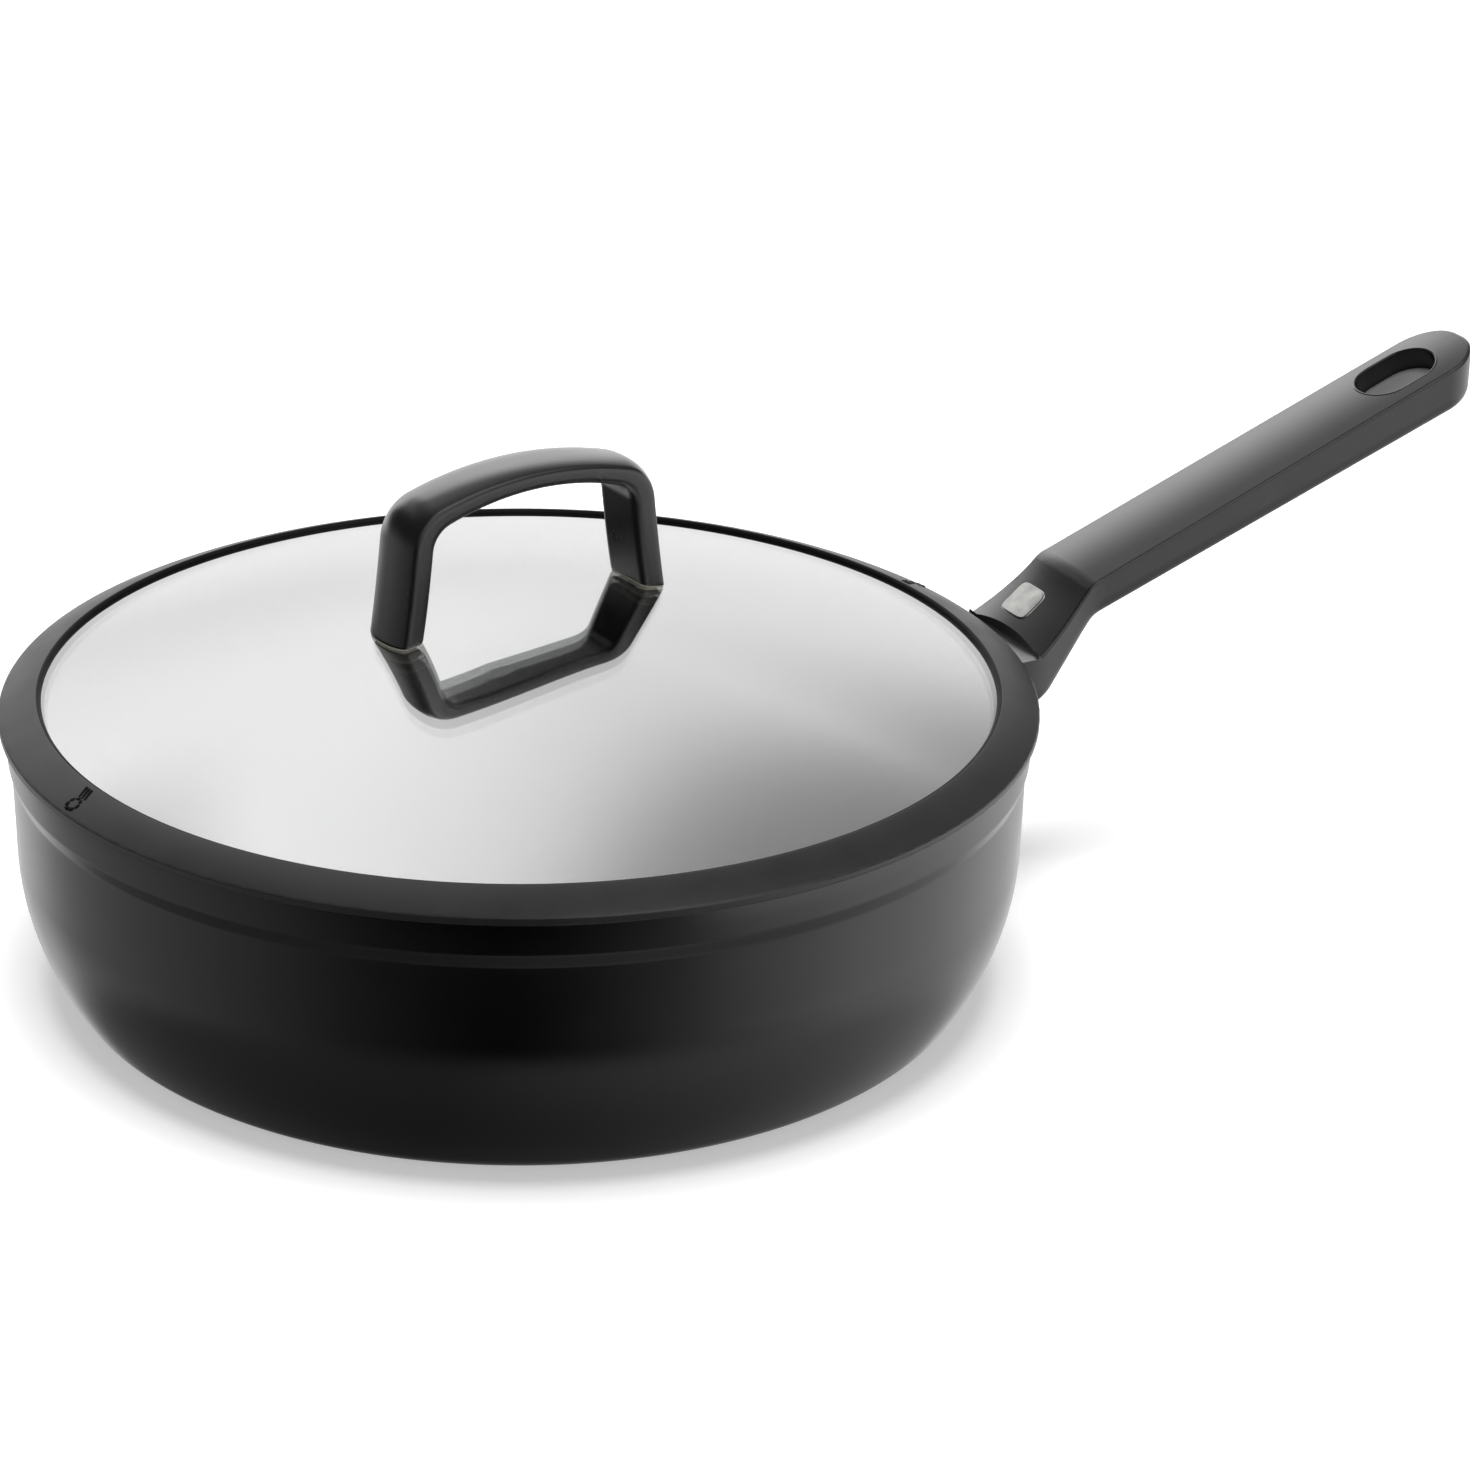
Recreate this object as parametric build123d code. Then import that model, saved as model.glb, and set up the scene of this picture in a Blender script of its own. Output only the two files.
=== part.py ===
from build123d import *
import math
import os

os.makedirs("parts", exist_ok=True)

# All lengths are millimetres. The pan stands on z = 0, the bowl is centred on the z axis
# and the long handle points along +x.

# Bowl, measured on the outside unless the name says otherwise
pan_height = 80.0
mouth_radius = 139.9
collar_wall = 3.0
collar_depth = 9.6
step_height = 3.4
wall_overhang = 1.9
wall_draft = 0.5
body_wall = 3.2
shoulder_height = 44.5
bowl_rounding = 73.0
base_corner = 10.0
floor_thickness = 4.8
floor_corner = 12.0
step_round = 4.0
mouth_round = 0.6

# Steel plate in the underside
plate_inset = 18.2
plate_thickness = 0.8
plate_clearance = 0.1

# Handle root beside the wall: lengths run out from the wall, drops run down from the rim
heel_drop = 25.0
heel_length = 19.2
heel_round = 14.0
root_half_width = 20.3
root_clearance = 0.3
ledge_drop = 8.4
ledge_length = 17.7
ledge_step = 2.0
rise_length = 16.2
rise_bulge = 1.0

# Handle grip, on its crown line
knee_length = 35.9
knee_rise = 10.1
knee_round = 9.0
under_knee_length = 39.2
under_knee_drop = 2.4
under_knee_round = 9.0
grip_slope = 20.9
grip_underside_slope = 19.8
knee_half_width = 14.9
tip_half_width = 14.2
handle_length = 173.0
tip_round = 12.4
crown_radius = 104.0
crown_margin = 30.0
root_plan_round = 30.0
knee_plan_round = 40.0
edge_round = 0.9
underside_round = 6.0
root_end_margin = 1.0

# Hanging pocket, its middle set back from the tip
pocket_setback = 23.0
pocket_length = 26.0
pocket_width = 18.8
pocket_depth = 7.0

# Bracket that carries the handle
saddle_half_width = 13.0
saddle_wall = 2.2
saddle_drop = 11.0
saddle_height = 11.5
tongue_drop = 12.5
tongue_height = 7.0
tongue_half_width = 8.0
tongue_length = 16.2
socket_clearance = 0.1

# Handle screw, driven up from below into the tongue
screw_length_out = 7.8
screw_radius = 2.5
screw_head_radius = 4.4
screw_head_height = 2.4
screw_head_round = 1.2
screw_end_gap = 1.0
washer_radius = 4.6
washer_height = 0.9
seat_wall = 2.0
thread_clearance = 0.05
counterbore_clearance = 0.25

# Lid glass: a crown arc in the middle and a flatter arc out to the edge
glass_edge_rise = 4.16
glass_wall = 4.0
glass_inset = 2.3
crown_arc_radius = 248.0
crown_arc_angle = 9.5
skirt_arc_radius = 656.0
glass_hole_radius = 4.2
glass_edge_round = 0.8

# Silicone ring round the glass: insets run in from the mouth, heights up from the seat
band_overhang = 5.1
band_height = 2.1
lip_inset = 5.7
lip_height = 6.6
lip_foot_inset = 6.8
lip_foot_height = 5.4
under_lip_inset = 8.1
under_lip_drop = 2.0
under_lip_rise = 2.2
under_lip_wall = 1.9
skirt_clearance = 0.4
skirt_depth = 6.5
skirt_wall = 2.9
skirt_draft = 0.3
ring_round = 0.5

# Straining openings in the skirt, slots on one side and round holes on the other
strainer_count = 7
strainer_pitch = 4.6
slot_width = 2.2
slot_height = 3.6
hole_radius = 1.6

# Arch handle on the lid: rises run up from the top of the glass. It stands turned against
# the pan handle. The half spans are those at the datum, a little under the top of the glass.
lid_turn = 8.1
arch_width = 18.4
arch_half_span = 45.0
arch_datum_drop = 5.4
arch_foot_depth = 14.0
arch_rise = 40.4
arch_lean = 6.6
arch_crown_radius = 117.0
arch_shoulder = 14.0
arch_inner_half_span = 36.1
arch_inner_rise = 33.8
arch_inner_radius = 88.0
arch_inner_shoulder = 7.8
arch_outer_round = 2.8
arch_inner_round = 1.4
gasket_height = 0.8

# Fixings of the arch: heights against the top of the glass
fixing_reach = 39.4
insert_radius = 3.0
insert_length = 10.0
insert_drop = 1.2
fixing_screw_radius = 2.0
fixing_screw_rise = 6.6
fixing_head_radius = 3.8
fixing_head_height = 2.6
fixing_head_round = 1.2
soft_washer_radius = 7.0
soft_washer_drop = 9.1
steel_washer_radius = 6.2
steel_washer_height = 1.0

# Cuts run past the faces that they open by this much
overrun = 5.0

# Middle of an arc, the tilt that tells a top from a side, and the reach of a touch
half_share = 0.5
edge_tilt_share = 0.25
touch = 0.02

# Derived sizes of the bowl
collar_radius = mouth_radius + collar_wall
wall_radius = mouth_radius + wall_overhang
wall_foot_radius = wall_radius - wall_draft
inner_step_radius = wall_radius - body_wall
step_top = pan_height - collar_depth
step_bottom = step_top - step_height
foot_radius = wall_foot_radius - bowl_rounding + math.sqrt(bowl_rounding**2 - shoulder_height**2)
plate_radius = foot_radius - plate_inset

# Derived places of the handle
heel_x = wall_radius + heel_length
heel_z = pan_height - heel_drop
ledge_radius = wall_radius + ledge_length
ledge_height = pan_height - ledge_drop
rise_x = wall_radius + rise_length
crease_z = ledge_height + ledge_step
knee_x = wall_radius + knee_length
knee_z = pan_height + knee_rise
under_knee_x = wall_radius + under_knee_length
under_knee_z = pan_height - under_knee_drop
tip_x = wall_radius + handle_length
pocket_x = tip_x - pocket_setback
tongue_top = pan_height - tongue_drop
tongue_bottom = tongue_top - tongue_height
saddle_top = pan_height - saddle_drop
saddle_bottom = saddle_top - saddle_height
screw_x = wall_radius + screw_length_out
screw_top = tongue_top - screw_end_gap
screw_seat = tongue_bottom - seat_wall

# Derived sizes of the lid
seat_height = pan_height
glass_radius = mouth_radius - glass_inset
band_radius = mouth_radius + band_overhang
lip_radius = mouth_radius - lip_inset
lip_foot_radius = mouth_radius - lip_foot_inset
under_lip_radius = mouth_radius - under_lip_inset
skirt_radius = mouth_radius - skirt_clearance
bore_radius = fixing_screw_radius + thread_clearance


def dome_drop(radius):
    """Fall of the glass surface from its apex to a radius on the flatter arc."""
    angle = math.radians(crown_arc_angle)
    beyond_crown = radius - crown_arc_radius * math.sin(angle)
    reach = math.asin(math.sin(angle) + beyond_crown / skirt_arc_radius)
    crown_fall = crown_arc_radius * (1 - math.cos(angle))
    return crown_fall + skirt_arc_radius * (math.cos(angle) - math.cos(reach))


glass_apex = seat_height + glass_edge_rise + dome_drop(glass_radius)
arch_apex = glass_apex + arch_rise
arch_inner_apex = glass_apex + arch_inner_rise
arch_datum = glass_apex - arch_datum_drop
insert_floor = glass_apex - insert_drop
fixing_screw_top = glass_apex + fixing_screw_rise
soft_washer_bottom = glass_apex - soft_washer_drop


def corner(shape, x, z):
    """Vertex of a profile nearest to a point of the x-z plane."""
    return shape.vertices().sort_by_distance((x, 0, z))[0]


def polygon(points):
    """Face inside a closed row of x-z points."""
    return make_face(Polyline(*[(x, 0, z) for x, z in points], close=True))


def upright_cylinder(radius, bottom, top, x=0, y=0):
    """Cylinder about a vertical axis between two heights."""
    return Pos(x, y, (bottom + top) / 2) * Cylinder(radius, top - bottom)


def upright_box(x0, x1, half_width, bottom, top):
    """Box between two x positions and two heights, even about y = 0."""
    size = Box(x1 - x0, 2 * half_width, top - bottom)
    return Pos((x0 + x1) / 2, 0, (bottom + top) / 2) * size


def bowl_arc(radius, floor):
    """Rounding of the lower wall from the floor height up to the shoulder."""
    centre_x = wall_foot_radius - bowl_rounding
    fall = math.degrees(math.asin((shoulder_height - floor) / radius))
    plane = Plane(origin=(centre_x, 0, shoulder_height), x_dir=(1, 0, 0), z_dir=(0, -1, 0))
    return plane * CenterArc((0, 0), radius, -fall, fall)


def bowl_profile():
    """Half section of the bowl wall and floor."""
    outer = bowl_arc(bowl_rounding, 0)
    inner = bowl_arc(bowl_rounding - body_wall, floor_thickness)
    outside = Polyline(
        (wall_foot_radius, 0, shoulder_height),
        (wall_radius, 0, step_bottom),
        (collar_radius, 0, step_top),
        (collar_radius, 0, pan_height),
        (mouth_radius, 0, pan_height),
        (mouth_radius, 0, step_top),
        (inner_step_radius, 0, step_bottom),
        (wall_foot_radius - body_wall, 0, shoulder_height),
    )
    inside = Polyline(inner @ 0, (0, 0, floor_thickness), (0, 0, 0), outer @ 0)
    face = make_face([outer, *outside.edges(), inner, *inside.edges()])
    foot = outer @ 0
    sump = inner @ 0
    face = fillet(corner(face, foot.X, 0), base_corner)
    face = fillet(corner(face, sump.X, floor_thickness), floor_corner)
    for x, z in (
        (wall_radius, step_bottom),
        (collar_radius, step_top),
        (mouth_radius, step_top),
        (inner_step_radius, step_bottom),
    ):
        face = fillet(corner(face, x, z), step_round)
    for x in (collar_radius, mouth_radius):
        face = fillet(corner(face, x, pan_height), mouth_round)
    return face


def make_pan_body():
    """Bowl with the pocket for the steel plate in its underside."""
    bowl = revolve(bowl_profile(), Axis.Z)
    pocket = upright_cylinder(plate_radius + plate_clearance, -overrun, plate_thickness)
    return bowl - pocket


def make_induction_plate():
    """Flat steel disc, level with the underside."""
    return upright_cylinder(plate_radius, 0, plate_thickness)


def grip_profile():
    """Side outline of the handle from the wall to the tip, before the crown is cut."""
    rise = math.tan(math.radians(grip_slope))
    under_rise = math.tan(math.radians(grip_underside_slope))
    end = tip_x + overrun
    tip_top = knee_z + (end - knee_x) * rise
    tip_under = under_knee_z + (end - under_knee_x) * under_rise
    lines = Polyline(
        (knee_x, 0, knee_z),
        (end, 0, tip_top),
        (end, 0, tip_under),
        (under_knee_x, 0, under_knee_z),
        (heel_x, 0, heel_z),
        (mouth_radius, 0, heel_z),
        (mouth_radius, 0, crease_z),
        (rise_x, 0, crease_z),
    )
    face = make_face([climb_arc(), *lines.edges()])
    face = fillet(corner(face, knee_x, knee_z), knee_round)
    face = fillet(corner(face, under_knee_x, under_knee_z), under_knee_round)
    return fillet(corner(face, heel_x, heel_z), heel_round)


def climb_arc():
    """Hollow rise of the root from the ledge to the knee."""
    run = knee_x - rise_x
    climb = knee_z - crease_z
    chord = math.hypot(run, climb)
    middle_x = rise_x + run / 2 + rise_bulge * climb / chord
    middle_z = crease_z + climb / 2 - rise_bulge * run / chord
    return ThreePointArc(
        (rise_x, 0, crease_z),
        (middle_x, 0, middle_z),
        (knee_x, 0, knee_z),
    )


def crown_line():
    """Path along the top of the handle, rounded at the knee."""
    rise = math.tan(math.radians(grip_slope))
    end = tip_x + overrun
    grip = Line((knee_x, 0, knee_z), (end, 0, knee_z + (end - knee_x) * rise))
    line = Wire([climb_arc(), grip])
    return line.fillet_2d(knee_round, [corner(line, knee_x, knee_z)])


def plan_profile():
    """Outline of the handle seen from above."""
    side = [
        (mouth_radius, root_half_width),
        (rise_x, root_half_width),
        (knee_x, knee_half_width),
        (tip_x, tip_half_width),
    ]
    mirrored = [(x, -y) for x, y in reversed(side)]
    face = make_face(Polyline(*side, *mirrored, close=True))
    rounds = (root_plan_round, knee_plan_round, tip_round)
    for (x, y), radius in zip(side[1:], rounds):
        for sign in (-1, 1):
            vertex = face.vertices().sort_by_distance((x, sign * y, 0))[0]
            face = fillet(vertex, radius)
    return face


def crown_cutter():
    """Waste above the rounded top of the handle, swept along the crown line."""
    path = crown_line()
    heading = path % 0
    sideways = (0, math.copysign(1, heading.X), 0)
    across = Plane(origin=path @ 0, x_dir=sideways, z_dir=heading)
    drop = crown_radius - math.sqrt(crown_radius**2 - crown_margin**2)
    arc = ThreePointArc((-crown_margin, -drop), (0, 0), (crown_margin, -drop))
    lid = Polyline(arc @ 1, (crown_margin, crown_margin), (-crown_margin, crown_margin), arc @ 0)
    section = across * make_face([arc, *lid.edges()])
    return sweep(section, path)


def grip_blank():
    """Handle body: side outline, plan outline and crown brought together."""
    side = extrude(grip_profile(), crown_margin, both=True)
    plan = extrude(plan_profile(), 2 * pan_height)
    return (side & plan) - crown_cutter()


def border_edges(solid, upward):
    """Edges between the top, or the underside, and the side walls."""
    faces = [f for f in solid.faces() if upward * f.normal_at(f.center()).Z > edge_tilt_share]
    edges = [edge for face in faces for edge in face.edges()]
    single = [e for e in edges if sum(e.is_same(other) for other in edges) == 1]
    return [e for e in single if e.center().X > mouth_radius + root_end_margin]


def rounded_grip():
    """Handle body with soft underside edges and crisp top ridges."""
    blank = grip_blank().solids()[0]
    blank = fillet(border_edges(blank, -1), underside_round)
    return fillet(border_edges(blank, 1), edge_round)


def hanging_pocket():
    """Blind oval pocket, square to the grip's top face."""
    rise = math.tan(math.radians(grip_slope))
    centre = (pocket_x, 0, knee_z + (pocket_x - knee_x) * rise)
    plane = Plane(origin=centre, x_dir=(1, 0, rise), z_dir=(-rise, 0, 1))
    outline = SlotOverall(pocket_length, pocket_width)
    return plane * Pos(0, 0, -pocket_depth) * extrude(outline, pocket_depth + overrun)


def handle_bracket_blank(growth):
    """Curved saddle on the wall with a tongue, grown on every free side."""
    wall = wall_radius + saddle_wall + growth
    saddle = upright_cylinder(wall, saddle_bottom - growth, saddle_top + growth)
    slab = upright_box(
        0,
        wall,
        saddle_half_width + growth,
        saddle_bottom - growth,
        saddle_top + growth,
    )
    tongue = upright_box(
        mouth_radius,
        wall_radius + tongue_length + growth,
        tongue_half_width + growth,
        tongue_bottom - growth,
        tongue_top + growth,
    )
    return (saddle & slab) + tongue


def bowl_envelope(growth):
    """Solid bowl outline, used to seat pieces against the wall."""
    wall = upright_cylinder(wall_radius + growth, 0, pan_height + overrun)
    collar = upright_cylinder(collar_radius + growth, step_bottom, pan_height + overrun)
    return wall + collar


def filled_bowl():
    """Pan body with its inside filled, to cut pieces to the true wall."""
    core_radius = (inner_step_radius + wall_radius) / 2
    return make_pan_body() + upright_cylinder(core_radius, floor_thickness / 2, pan_height)


def screw_bore(radius, bottom, top):
    """Cylinder on the handle screw's axis."""
    return upright_cylinder(radius, bottom, top, x=screw_x)


def make_handle_bracket():
    """Saddle and tongue welded to the wall, with the tapped hole."""
    bracket = handle_bracket_blank(0) - filled_bowl()
    thread = screw_bore(screw_radius + thread_clearance, 0, pan_height)
    return bracket - thread


def make_handle_grip():
    """Moulded handle: ledge under the lid, socket for the bracket, pocket and screw hole."""
    grip = rounded_grip()
    grip -= upright_cylinder(ledge_radius, ledge_height, pan_height + overrun)
    grip -= bowl_envelope(root_clearance)
    grip -= handle_bracket_blank(socket_clearance)
    grip -= screw_bore(screw_radius + counterbore_clearance, 0, tongue_top)
    grip -= screw_bore(washer_radius + counterbore_clearance, 0, screw_seat)
    return grip - hanging_pocket()


def make_handle_washer():
    """Flat washer against the seat of the counterbore."""
    bottom = screw_seat - washer_height
    disc = screw_bore(washer_radius, bottom, screw_seat)
    return disc - screw_bore(screw_radius + thread_clearance, 0, pan_height)


def make_handle_screw():
    """Screw with a round head, pointing up."""
    head_top = screw_seat - washer_height
    head = screw_bore(screw_head_radius, head_top - screw_head_height, head_top)
    head = fillet(head.edges().sort_by(Axis.Z)[0], screw_head_round)
    return head + screw_bore(screw_radius, head_top, screw_top)


def dome_profile(inset, radius):
    """Half section under the glass surface, moved in by inset, out to a radius."""
    angle = math.radians(crown_arc_angle)
    crown_centre = glass_apex - crown_arc_radius
    joint = (
        crown_arc_radius * math.sin(angle),
        crown_centre + crown_arc_radius * math.cos(angle),
    )
    skirt_centre = (
        joint[0] - skirt_arc_radius * math.sin(angle),
        joint[1] - skirt_arc_radius * math.cos(angle),
    )
    crown = crown_arc_radius - inset
    skirt = skirt_arc_radius - inset
    reach = math.asin((radius - skirt_centre[0]) / skirt)

    def on_crown(share):
        turn = share * angle
        return (crown * math.sin(turn), 0, crown_centre + crown * math.cos(turn))

    def on_skirt(share):
        turn = angle + share * (reach - angle)
        x = skirt_centre[0] + skirt * math.sin(turn)
        return (x, 0, skirt_centre[1] + skirt * math.cos(turn))

    top = ThreePointArc(on_crown(0), on_crown(half_share), on_crown(1))
    side = ThreePointArc(on_skirt(0), on_skirt(half_share), on_skirt(1))
    edge = side @ 1
    rest = Polyline(edge, (edge.X, 0, 0), (0, 0, 0), top @ 0)
    return make_face([top, side, *rest.edges()])


def dome(inset, radius=band_radius):
    """Everything below the glass surface moved in by inset."""
    return revolve(dome_profile(inset, radius), Axis.Z)


def fixing_pair(radius, bottom, top):
    """Two upright cylinders on the axes of the arch screws."""
    pair = [
        upright_cylinder(radius, bottom, top, x=sign * fixing_reach)
        for sign in (-1, 1)
    ]
    return pair[0] + pair[1]


def turned(solid):
    """Piece of the lid, built along x, turned to the lid's place."""
    return Rot(0, 0, lid_turn) * solid


def glass_blank():
    """Domed glass without its holes, edge rounded."""
    shell = dome_profile(0, glass_radius) - dome_profile(glass_wall, glass_radius + overrun)
    sharp = shell.vertices().sort_by(Axis.X)[-2:]
    return revolve(fillet(sharp, glass_edge_round), Axis.Z)


def make_lid_glass():
    """Domed glass with a hole for each arch screw."""
    bores = fixing_pair(glass_hole_radius, 0, arch_apex)
    return turned(glass_blank() - bores)


def ring_profile():
    """Half section of the silicone ring, glass groove still filled."""
    top = seat_height + lip_height
    band = seat_height + band_height
    inner = skirt_radius - skirt_wall
    under_lip = seat_height - under_lip_drop
    points = [
        (lip_radius, top),
        (band_radius, band),
        (band_radius, seat_height),
        (skirt_radius, seat_height),
        (skirt_radius - skirt_draft, seat_height - skirt_depth),
        (inner, seat_height - skirt_depth),
        (inner - skirt_draft, under_lip),
        (under_lip_radius, under_lip + under_lip_rise),
        (under_lip_radius, under_lip + under_lip_rise + under_lip_wall),
        (lip_foot_radius, seat_height + lip_foot_height),
    ]
    face = polygon(points)
    for x, z in (points[1], points[2], points[4], points[5]):
        face = fillet(corner(face, x, z), ring_round)
    return face


def strainer_cuts():
    """Slots through one side of the skirt and round holes through the other."""
    middle = seat_height - skirt_depth / 2
    first = -(strainer_count - 1) / 2
    step = math.degrees(strainer_pitch / skirt_radius)
    reach = skirt_wall + 2 * overrun
    slot = Box(reach, slot_width, slot_height)
    hole = Rot(0, 90, 0) * Cylinder(hole_radius, reach)
    cuts = []
    for index in range(strainer_count):
        turn = (first + index) * step
        cuts.append(Rot(0, 0, turn + 180) * Pos(skirt_radius, 0, middle) * slot)
        cuts.append(Rot(0, 0, turn) * Pos(skirt_radius, 0, middle) * hole)
    return cuts


def make_lid_rim():
    """Silicone ring that grips the glass, with the straining openings."""
    ring = revolve(ring_profile(), Axis.Z) - glass_blank()
    ring = ring.solids().sort_by(SortBy.VOLUME)[-1]
    return turned(ring - strainer_cuts())


def arch_outline(half_span, apex, radius, shoulder, overhang):
    """Closed outline under one side of the arch, feet run past the glass."""
    lean = math.tan(math.radians(arch_lean))
    low = arch_datum - arch_foot_depth
    high = apex + overhang
    low_half = half_span + arch_foot_depth * lean
    high_half = half_span - (high - arch_datum) * lean
    block = polygon([(-low_half, low), (low_half, low), (high_half, high), (-high_half, high)])
    plane = Plane(origin=(0, 0, apex - radius), x_dir=(1, 0, 0), z_dir=(0, -1, 0))
    face = block & (plane * Circle(radius))
    top = face.vertices().sort_by(Axis.Z)[-2:]
    return fillet(top, shoulder)


def arch_blank():
    """Arch handle with rounded edges, feet not yet cut to the glass."""
    outer = arch_outline(arch_half_span, arch_apex, arch_crown_radius, arch_shoulder, overrun)
    inner = arch_outline(
        arch_inner_half_span,
        arch_inner_apex,
        arch_inner_radius,
        arch_inner_shoulder,
        overrun,
    )
    solid = extrude(outer, arch_width / 2, both=True)
    hollow = extrude(inner, arch_width, both=True)
    bottom = arch_datum - arch_foot_depth
    side = [
        e
        for e in solid.edges()
        if abs(abs(e.center().Y) - arch_width / 2) < touch and e.center().Z > bottom + touch
    ]
    solid = fillet(side, arch_outer_round) - hollow
    inside = [
        e
        for e in solid.edges()
        if abs(abs(e.center().Y) - arch_width / 2) < touch
        and e.center().Z > bottom + touch
        and hollow.distance_to(e.center()) < touch
    ]
    return fillet(inside, arch_inner_round)


def make_lid_handle():
    """Arch cut to the dome, with a blind hole for each insert."""
    arch = arch_blank() - Pos(0, 0, gasket_height) * dome(0)
    arch -= fixing_pair(insert_radius, insert_floor, insert_floor + insert_length)
    arch -= fixing_pair(bore_radius, 0, fixing_screw_top + thread_clearance)
    return turned(arch)


def make_lid_gaskets():
    """Thin pads between the feet and the glass."""
    pads = arch_blank() & (Pos(0, 0, gasket_height) * dome(0))
    pads -= dome(0)
    return turned(pads - fixing_pair(bore_radius, 0, arch_apex))


def make_lid_inserts():
    """Brass inserts moulded into the feet."""
    sleeve = fixing_pair(insert_radius, insert_floor, insert_floor + insert_length)
    return turned(sleeve - fixing_pair(bore_radius, 0, arch_apex))


def make_lid_soft_washers():
    """Soft washers with their top cut to the underside of the glass."""
    blanks = fixing_pair(soft_washer_radius, soft_washer_bottom, arch_apex)
    washers = blanks & dome(glass_wall)
    return turned(washers - fixing_pair(bore_radius, 0, arch_apex))


def make_lid_steel_washers():
    """Flat steel washers under the soft ones."""
    bottom = soft_washer_bottom - steel_washer_height
    discs = fixing_pair(steel_washer_radius, bottom, soft_washer_bottom)
    return turned(discs - fixing_pair(bore_radius, 0, arch_apex))


def make_lid_screws():
    """Screws from below, heads against the steel washers."""
    head_top = soft_washer_bottom - steel_washer_height
    heads = fixing_pair(fixing_head_radius, head_top - fixing_head_height, head_top)
    low = heads.edges().filter_by(GeomType.CIRCLE).group_by(Axis.Z)[0]
    heads = fillet(low, fixing_head_round)
    return turned(heads + fixing_pair(fixing_screw_radius, head_top, fixing_screw_top))


def main():
    """Write every piece."""
    pieces = {
        "pan_body": make_pan_body(),
        "induction_plate": make_induction_plate(),
        "handle_bracket": make_handle_bracket(),
        "handle_grip": make_handle_grip(),
        "handle_washer": make_handle_washer(),
        "handle_screw": make_handle_screw(),
        "lid_glass": make_lid_glass(),
        "lid_rim": make_lid_rim(),
        "lid_handle": make_lid_handle(),
        "lid_gaskets": make_lid_gaskets(),
        "lid_inserts": make_lid_inserts(),
        "lid_soft_washers": make_lid_soft_washers(),
        "lid_steel_washers": make_lid_steel_washers(),
        "lid_screws": make_lid_screws(),
    }
    for name, piece in pieces.items():
        export_step(piece, f"parts/{name}.step")


main()
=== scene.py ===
import math

import bpy
import numpy as np
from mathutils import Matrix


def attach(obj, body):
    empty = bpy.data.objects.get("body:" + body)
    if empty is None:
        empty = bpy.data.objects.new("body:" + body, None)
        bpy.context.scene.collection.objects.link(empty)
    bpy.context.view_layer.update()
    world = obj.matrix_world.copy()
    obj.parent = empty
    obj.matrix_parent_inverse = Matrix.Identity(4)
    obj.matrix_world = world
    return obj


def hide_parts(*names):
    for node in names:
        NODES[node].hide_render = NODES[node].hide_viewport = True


bl_info = {
    "name": "Saute pan with glass lid",
    "version": (1, 0, 0),
    "blender": (4, 5, 0),
    "location": "3D View > Sidebar > Pan",
    "description": "Fine surfaces and finishes for the solids of a saute pan and its lid",
    "category": "Object",
}

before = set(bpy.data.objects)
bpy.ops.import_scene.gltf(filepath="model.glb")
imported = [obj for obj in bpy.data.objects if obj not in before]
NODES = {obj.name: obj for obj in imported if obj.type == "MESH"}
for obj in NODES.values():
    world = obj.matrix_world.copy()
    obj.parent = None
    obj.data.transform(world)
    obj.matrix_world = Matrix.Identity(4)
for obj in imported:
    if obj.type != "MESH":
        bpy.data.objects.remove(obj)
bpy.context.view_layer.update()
MM = 0.001

# The lid's arch stands turned against the pan handle by this angle
LID_TURN = math.radians(8.1)

# Section of the bowl, in millimetres: radius and height
WALL_FOOT_RADIUS = 141.3
SHOULDER_HEIGHT = 44.5
BOWL_ROUNDING = 73.0
BOWL_CENTRE_RADIUS = WALL_FOOT_RADIUS - BOWL_ROUNDING
BODY_WALL = 3.2
FLOOR_HEIGHT = 4.8
BASE_CORNER = 10.0
FLOOR_CORNER = 12.0
PLATE_POCKET_RADIUS = 108.07
PLATE_RADIUS = 107.97
PLATE_HEIGHT = 0.8
WALL_CORNERS = (
    (141.3, 44.5, 0.0),
    (141.8, 67.0, 4.0),
    (142.9, 70.4, 4.0),
    (142.9, 80.0, 1.2),
    (139.9, 80.0, 0.6),
    (139.9, 70.4, 4.0),
    (138.6, 67.0, 4.0),
    (138.1, 44.5, 0.0),
)
# Place of the mouth where the inner coat begins: radius and height
COAT_START = (139.9, 79.4)
# Longest steps on the straight runs of the section: floor with the lower wall, upper wall
FLOOR_STEP = 6.0
WALL_STEP = 4.0

# Turned grooves of the plate, in millimetres, with the plain middle and the plain border
GROOVE_PITCH = 6.0
GROOVE_DEPTH = 0.18
GROOVE_MIDDLE = 9.0
GROOVE_BORDER = 5.0
GROOVE_STEPS = 560
PLATE_EDGE = 0.5

# Section of the glass, in millimetres
GLASS_APEX = 111.4
GLASS_RADIUS = 137.6
GLASS_WALL = 4.0
GLASS_EDGE_ROUND = 0.8
CROWN_RADIUS = 248.0
CROWN_ANGLE = math.radians(9.5)
SKIRT_RADIUS = 656.0
# The rounded edge takes the place of this width of both faces
GLASS_EDGE_WIDTH = 1.5
GLASS_STEPS = 140

# Arch handle, in millimetres, in its own upright plane
ARCH_DATUM = 106.0
ARCH_LEAN = math.tan(math.radians(6.6))
# Outlines of its faces: half span at the datum, top, radius of the top arc and of the shoulder
ARCH_OUTER = (45.0, 151.77, 117.0, 14.0)
ARCH_INNER = (36.1, 145.2, 88.0, 7.8)
ARCH_HALF_WIDTH = 9.2
ARCH_STEPS = 161
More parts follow.
